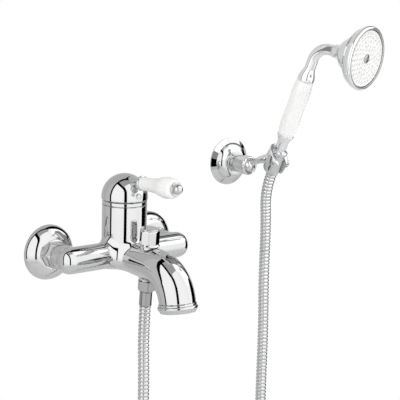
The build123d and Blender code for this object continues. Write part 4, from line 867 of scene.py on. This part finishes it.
def holderField(p):
    # Cup of revolution, ball, arm and boss joined, then the rim, the bore, the slot and the screw hole cut.
    # Beyond rimReach from the cup's axis the rim cuts nothing.
    h = holder
    q = p - handleFoot
    s = q @ handleDir
    x, w = q @ forward, q @ sideways
    r = np.hypot(x, w)
    cup = roundCut(r - np.interp(s, cupOuter[:, 1], cupOuter[:, 0]), s - h["foot"], h["footRound"])
    d = np.linalg.norm(p - h["ball"], axis=-1) - h["ballR"]
    for i in range(len(armLine) - 1):
        d = np.minimum(d, capsuleField(p, armLine[i], armLine[i + 1], armRadius[i], armRadius[i + 1]))
    d = roundUnion(d, cup, h["armFillet"])
    d = roundUnion(d, cylinderField(p, clampPlace, *h["boss"]), h["bossFillet"])
    slant = (s - h["frontAt"] + h["rimSlope"] * (x - h["frontX"])) / h["rimScale"]
    rim = np.where(r < h["rimReach"], np.maximum(s - h["topAt"], slant), -50)
    d = roundCut(d, -rim, h["rimRound"])
    d = roundCut(d, r - np.interp(s, cupBore[:, 1], cupBore[:, 0]), h["boreRound"])
    d = roundCut(d, np.maximum(np.abs(w) - h["slot"], -x), h["slotRound"])
    return roundCut(d, cylinderField(p, clampPlace, *h["screwHole"]), h["screwRound"])


addCasting("holderCup", "holder", holderField, (198, -100, 72), (246, -28, 124), holder["step"], "holder")

clamp = {"flutes": 16, "fluteDepth": 0.55, "fade": 0.5, "rimR": 7.2, "rimFrom": 15.0, "rimTo": 21.0}


def scallops(turn, r, s):
    # Flutes round the rim of the clamp knob, faded out at both ends.
    low, high = (s - clamp["rimFrom"]) / clamp["fade"], (clamp["rimTo"] - s) / clamp["fade"]
    ends = np.clip(low, 0, 1) * np.clip(high, 0, 1)
    depth = clamp["fluteDepth"] * np.clip(np.cos(clamp["flutes"] * turn), 0, 1) ** 1.5 * ends
    return np.where(r > clamp["rimR"] - 1, r - depth, r)


lathe("clamp_knob", clampPlace, [
    (0, 10.4), (2.3, 10.4), (2.5, 10.7), (2.5, clamp["rimFrom"]), (6.8, clamp["rimFrom"]), (clamp["rimR"], 15.5),
    (clamp["rimR"], 18), (clamp["rimR"], 20.5), (6.8, clamp["rimTo"]), (5.4, clamp["rimTo"]), (5.3, 21.7),
    (4.8, 21.8), (0, 21.9),
], "clamp", steps=256, shape=scallops)
print("bracket done")

# Hand shower, from the cone nut up
lathe("cone_nut", handlePlace, [
    (5.8, 10), (5.8, 0.3), (7.5, 0.3), (8, 1), (8.8, 27), (10.8, 30.8), (10.8, 33), (9, 34.5), (7.9, 34.5),
    (7.9, 21.8), (5.8, 21.8), (5.8, 10),
], "handset", 0.3)
gripFoot, gripTop = 57.6, 135.2
lathe("handle_socket", handlePlace, [
    (4, 40), (4, 25.8), (7.82, 25.8), (7.82, 33.9), (6.5, 34.9), (6.5, 37.5), (7.2, 38.5),
    curveThrough([(7.2, 45.5), (8.5, 50.6), (10.9, 56)], 14, (0, 1), (0.6, 1)),
    (10.9, 57.2), (10.5, gripFoot), (5.1, gripFoot), (5.1, 51.6), (4, 51.6), (4, 40),
], "handset", 0.3)
grip = curveThrough([(10.0, gripFoot), (10.9, 61.6), (11.6, 96.4), (11.2, 131.2), (10.4, gripTop)], 24)
lathe("porcelain_handle", handlePlace, [
    (5.2, 90), (5.2, gripFoot), grip, (5.2, gripTop), (5.2, 90),
], "handset", 0.3, mat="porcelain")

neck = {
    "taper": 17.5, "tubeR": 7.0, "elbowAt": 182.0, "elbowTurn": np.radians(75.3), "elbowR": 24.0, "joint": 23.0,
    "faced": np.radians(4.8), "intoHead": 3.0, "rows": 64, "steps": 96,
}
faced = forward * np.cos(neck["faced"]) + sideways * np.sin(neck["faced"])
headDir = faced * np.sin(neck["elbowTurn"]) + handleDir * np.cos(neck["elbowTurn"])
headPlace = axisFrame(handleFoot + handleDir * neck["elbowAt"], headDir, np.cross(faced, handleDir))


def addNeck(s):
    # Profile carried along a path: straight, then a bend of elbowR, then straight to the head.
    bend, bendR = s["elbowTurn"], s["elbowR"]
    run, arc = bendR * np.tan(bend / 2), bendR * bend
    first = s["elbowAt"] - run - gripTop
    total = first + arc + s["joint"] - run + s["intoHead"]
    taper = curveThrough([(10.7, 0), (10.3, 6.1), (7.9, 13.1), (s["tubeR"], s["taper"])], 10, (0.1, 1), (0, 1))
    at = np.r_[0, taper[:, 1], np.linspace(s["taper"] + 0.5, total, s["rows"]), total]
    radius = np.r_[0, taper[:, 0], np.full(s["rows"], s["tubeR"]), 0]
    angle = np.clip((at - first) / bendR, 0, bend)
    beyond = np.clip(at - first - arc, 0, None)
    up = gripTop + np.minimum(at, first) + bendR * np.sin(angle) + beyond * np.cos(bend)
    out = bendR * (1 - np.cos(angle)) + beyond * np.sin(bend)
    centre = handleFoot + up[:, None] * handleDir + out[:, None] * faced
    normal = faced * np.cos(angle)[:, None] - handleDir * np.sin(angle)[:, None]
    side = np.broadcast_to(np.cross(handleDir, faced), normal.shape)
    verts = sweep(centre, radius, normal, side, s["steps"])
    addPiece("handset_neck", verts, gridFaces(len(at), s["steps"]), "handset")


addNeck(neck)

head = {"neckR": 8.3, "r": 40.0, "foot": 27.0, "mouth": 59.5, "face": 73.5, "seatR": 35.8, "seatAt": 67.7}
shares = np.array([(0, 0), (0.10, 0.234), (0.31, 0.45), (0.48, 0.68), (0.665, 0.92), (0.7918, 1)])  # radius, height
bellPoints = (head["neckR"], head["foot"]) + shares * [head["r"] - head["neckR"], head["mouth"] - head["foot"]]
lathe("shower_head", headPlace, [
    (0, 24), (7.5, 24), (8.4, 25), (8.4, 26), (7.6, 26.5), (7.8, head["foot"]),
    curveThrough(bellPoints, 16, (0, 1), (1, 0.62)), (35.2, 59.7), (35.2, 61.3),
    arcThrough((34.6, 61.7), (39.1, 66.7), (head["r"], 70.1), 24),
    arcThrough((head["r"], 70.1), (39.6, 71.9), (38.6, 73), 10),
    (37.6, head["face"]), (head["seatR"], head["face"]), (head["seatR"], head["seatAt"]), (0, head["seatAt"]),
], "handset", 0.3, 224)
spray = {
    "r": 35.05, "front": 72.0, "thick": 2.5, "rings": [(9.5, 9), (15.0, 15), (20.5, 20), (26.0, 25), (31.0, 30)],
    "holeR": 1.75, "sinkR": 2.45, "depth": 2.0, "sink": 0.35, "wall": 0.35, "rows": 120, "columns": 720,
}
holedDisc("spray_plate", headPlace, spray, "handset")

screw = {
    "r": 6.0, "edgeR": 5.2, "top": 73.8, "fall": 1.1, "edgeFall": 0.5, "foot": 71.9, "slotHalf": 0.85,
    "slotEase": 0.22, "slotDepth": 0.8, "steps": 144,
}


def addScrew(s):
    # Along = top - fall * share^2, rounded off beyond edgeR, less the slot's depth where |x| is small.
    radii = np.r_[np.linspace(0, s["edgeR"], 36), np.linspace(5.3, s["r"], 6)]
    r, t = np.meshgrid(radii, fullTurn(s["steps"]), indexing="ij")
    beyond = np.clip((r - s["edgeR"]) / (s["r"] - s["edgeR"]), 0, 1)
    crown = s["top"] - s["fall"] * (r / s["r"]) ** 2 - s["edgeFall"] * beyond**2
    gap = smooth(np.clip((s["slotHalf"] - np.abs(r * np.sin(t))) / s["slotEase"], 0, 1))
    edge = [(s["r"], s["foot"]), (0, s["foot"])]
    # The screw takes the darker copy of chrome: painted shade in the middle of the spray face.
    addDisc("spray_screw", headPlace, r, t, crown - s["slotDepth"] * gap, edge, "handset", "shadedChrome")


addScrew(screw)
print("hand shower done")

# CAD nodes that stay, most of them inside, take the finish of their slot
for node in nodes.values():
    for slot in node.material_slots:
        known = slot.material.name.split(".")[0] if slot.material else ""
        if known in mats:
            slot.material = mats[known]

# Studio: a pale floor, a grey surround and tall light panels with dark strips between them, all
# 3 m away. turn is degrees to the right of the camera and height is degrees up from the centre.
studio = {
    "centre": (0.02, -0.055, 0.03), "reach": 3.0, "floorZ": -0.62, "floorR": 0.95, "worldDiffuse": 0.55,
    "panelGlow": 1.50, "panelLight": 1.50, "roomGlow": 0.76, "backGlow": 0.66, "ceilingGlow": 0.52,
    "fadeFrom": -42.0, "fadeTo": -6.0, "sideFade": 0.12, "backTurn": 104.0,
}
panels = {
    "leftPanel": [(-70, -45), (4, -45), (4, 33), (-78, 60)],
    "rightPanel": [(12, -45), (75, -45), (75, 66), (2, 61)],
    "farPanel": [(75, -45), (134, -45), (136, 70), (75, 65)],
}
ceiling = [(2, 59), (75, 64), (140, 69), (-73, 64)]
strips = {
    "middleSeam": [
        (7, -22, 14), (7, 31, 13), (1, 45, 12), (-12, 53.5, 11), (-28, 59, 10), (-50, 62.5, 10), (-73, 63, 10),
        (-88, 64, 9),
    ],
    "edgeLine": [
        (-70, -22, 9), (-71, 20, 9), (-76, 44, 9), (-84, 60, 9), (-94, 70, 9), (-125, 77, 11), (176, 78, 11),
        (151, 71, 17), (150, 60, 22), (149, 45, 26), (148, 30, 26), (148, 15, 27), (146, 4, 27),
    ],
    "lowBand": [(121, -24, 40), (121, -11, 40), (126, 0, 42), (135, 11, 30)],
}


def aim(turn, height):
    # Unit direction, turn degrees to the right of the camera and height degrees up.
    t, h = np.radians(turn)[..., None], np.radians(height)[..., None]
    flat = unit(np.array([cameraBack[0], cameraBack[1], 0]))
    return np.cos(h) * (np.cos(t) * flat + np.sin(t) * cameraRight) + np.sin(h) * np.array([0, 0, 1.0])


def glowMaterial(name, shown, light, low):
    # Strength for mirror rays = low + (shown - low) * shade, for the light on matt surfaces light * shade.
    mat, tree = newMaterial(name)
    tree.nodes.clear()
    shade = tree.nodes.new("ShaderNodeAttribute")
    shade.attribute_name = "shade"
    path = tree.nodes.new("ShaderNodeLightPath")
    mirrored = addNode(tree, "ShaderNodeMapRange", {"Value": shade.outputs["Fac"], "To Min": low, "To Max": shown})
    matt = addNode(tree, "ShaderNodeMapRange", {"Value": shade.outputs["Fac"], "To Max": light})
    strength = addNode(tree, "ShaderNodeMapRange", {
        "Value": path.outputs["Is Glossy Ray"],
        "To Min": matt.outputs["Result"], "To Max": mirrored.outputs["Result"],
    })
    glow = addNode(tree, "ShaderNodeEmission", {"Strength": strength.outputs["Result"]})
    addNode(tree, "ShaderNodeOutputMaterial", {"Surface": glow.outputs[0]})
    return mat


def addShell(name, share, directions, faces, materials, slots=0, shade=1.0, lights=False):
    # Faces at reach * share from the centre, turned so that their front looks at it.
    mesh = bpy.data.meshes.new(name)
    corners = directions[faces[0]]
    if np.cross(corners[1] - corners[0], corners[2] - corners[0]) @ corners[0] > 0:
        faces = faces[:, ::-1]
    verts = np.array(studio["centre"]) + directions * studio["reach"] * share
    mesh.from_pydata(verts.tolist(), [], faces.tolist())
    for mat in materials:
        mesh.materials.append(mat)
    mesh.polygons.foreach_set("material_index", np.full(len(faces), slots, np.int32))
    values = mesh.attributes.new("shade", "FLOAT", "POINT")
    values.data.foreach_set("value", np.full(len(verts), shade, float))
    mesh.update()
    shell = newObject(name, mesh)
    shell.visible_camera = shell.visible_shadow = False
    shell.visible_diffuse = lights


def patchGrid(corners):
    # Direction = unit(bilinear mix of the four corner directions), so each edge is a great circle.
    a, b, c, d = aim(*np.array(corners, float).T)
    u, v = (w[..., None] for w in np.meshgrid(np.linspace(0, 1, 17), np.linspace(0, 1, 17)))
    grid = unit((1 - u) * (1 - v) * a + u * (1 - v) * b + u * v * c + (1 - u) * v * d)
    return grid.reshape(-1, 3), u.ravel(), gridFaces(17, 17, wrap=False)


def addPanel(name, corners, mat, s):
    # Shade fades out towards the bottom by a smooth step, and a little towards both sides.
    directions, across, faces = patchGrid(corners)
    height = np.degrees(np.arcsin(directions[:, 2]))
    t = np.clip((height - s["fadeFrom"]) / (s["fadeTo"] - s["fadeFrom"]), 0, 1)
    shade = smooth(t) * (1 - s["sideFade"] * (2 * across - 1) ** 2)
    addShell(name, 0.98, directions, faces, [mat], shade=shade, lights=True)


def addStrip(name, line, mat):
    # Centre line = unit mix of neighbouring directions, each edge half the width off it, in degrees.
    line = np.array(line, float)
    at = np.arange(len(line))
    t = np.linspace(0, len(line) - 1, 8 * (len(line) - 1) + 1)
    knots = aim(line[:, 0], line[:, 1])
    centre = unit(np.column_stack([np.interp(t, at, knots[:, i]) for i in range(3)]))
    side = unit(np.cross(centre, np.gradient(centre, axis=0)))
    edge = np.tan(np.radians(np.interp(t, at, line[:, 2]) / 2))[:, None] * side
    directions = unit(np.stack([centre - edge, centre + edge], 1)).reshape(-1, 3)
    addShell(name, 0.96, directions, gridFaces(len(t), 2, wrap=False), [mat])


def addStudio(s):
    panel = glowMaterial("panelWhite", s["panelGlow"], s["panelLight"], s["roomGlow"])
    black = glowMaterial("stripBlack", 0.0, 0.0, 0.0)
    greys = [glowMaterial(name, s[name], 0.0, s[name]) for name in ("roomGlow", "backGlow", "ceilingGlow")]
    rows, columns = np.linspace(-60, 89.9, 46), np.linspace(-180, 180, 90, endpoint=False)
    height, turn = np.meshgrid(rows, columns, indexing="ij")
    faces = gridFaces(46, 90)
    behind = np.abs(turn.ravel()[faces[:, 0]]) > s["backTurn"]
    addShell("surround", 1.0, aim(turn, height).reshape(-1, 3), faces, greys[:2], slots=behind)
    directions, _, faces = patchGrid(ceiling)
    addShell("ceiling", 0.99, directions, faces, greys[2:])
    for name, corners in panels.items():
        addPanel(name, corners, panel, s)
    for name, line in strips.items():
        addStrip(name, line, black)


# Soft box round the hand shower's head: area lamps that only gloss sees, so they light nothing and
# lift what the chrome there mirrors. A side is (turn, height, glow).
softBox = {
    "centre": (0.238, -0.160, 0.240), "reach": 0.13,
    "sides": [(0, 0, 0.32), (90, 0, 0.36), (180, 0, 0.24), (-90, 0, 0.28), (0, 90, 0.28), (0, -90, 0.24)],
}


def addSoftBox(s):
    # Energy = 4 * area * glow for each lamp.
    for k, (turn, height, glow) in enumerate(s["sides"]):
        data = bpy.data.lights.new(f"headLamp{k}", "AREA")
        data.size = 2 * s["reach"]
        data.energy = 4 * data.size**2 * glow
        lamp = newObject(data.name, data)
        out = Vector(aim(turn, height).ravel().tolist())
        lamp.location = Vector(s["centre"]) + out * s["reach"]
        lamp.rotation_euler = out.to_track_quat("Z", "Y").to_euler()
        lamp.visible_camera = lamp.visible_diffuse = False


addStudio(studio)
addSoftBox(softBox)


def addFloor(s):
    t = fullTurn(96)
    x, y = s["centre"][0] + s["floorR"] * np.cos(t), s["centre"][1] + s["floorR"] * np.sin(t)
    ring = np.column_stack([x, y, np.full(len(t), s["floorZ"])])
    mesh = bpy.data.meshes.new("floor")
    mesh.from_pydata(ring.tolist(), [], [tuple(range(len(t)))])
    mat, tree = newMaterial("floorPale")
    shader = tree.nodes["Principled BSDF"]
    shader.inputs["Base Color"].default_value = (0.86, 0.86, 0.86, 1)
    shader.inputs["Roughness"].default_value = 0.9
    mesh.materials.append(mat)
    newObject("floor", mesh)


addFloor(studio)


def setWorld(s):
    # White where the camera, metal or glass looks, dimmer for the light on matt surfaces.
    world = bpy.data.worlds.new("studioWhite")
    bpy.context.scene.world = world
    world.use_nodes = True
    tree = world.node_tree
    tree.nodes.clear()
    rays = tree.nodes.new("ShaderNodeLightPath").outputs
    seen = addNode(tree, "ShaderNodeMath", {0: rays["Is Camera Ray"], 1: rays["Is Glossy Ray"]})
    white = addNode(tree, "ShaderNodeMath", {0: seen.outputs[0], 1: rays["Is Transmission Ray"]})
    seen.operation = white.operation = "MAXIMUM"
    span = {"Value": white.outputs[0], "To Min": s["worldDiffuse"], "To Max": 1.0}
    scale = addNode(tree, "ShaderNodeMapRange", span)
    back = addNode(tree, "ShaderNodeBackground", {"Color": (1, 1, 1, 1), "Strength": scale.outputs["Result"]})
    addNode(tree, "ShaderNodeOutputWorld", {"Surface": back.outputs[0]})
    bpy.context.scene.view_settings.view_transform = "Standard"


setWorld(studio)
print("studio lit")
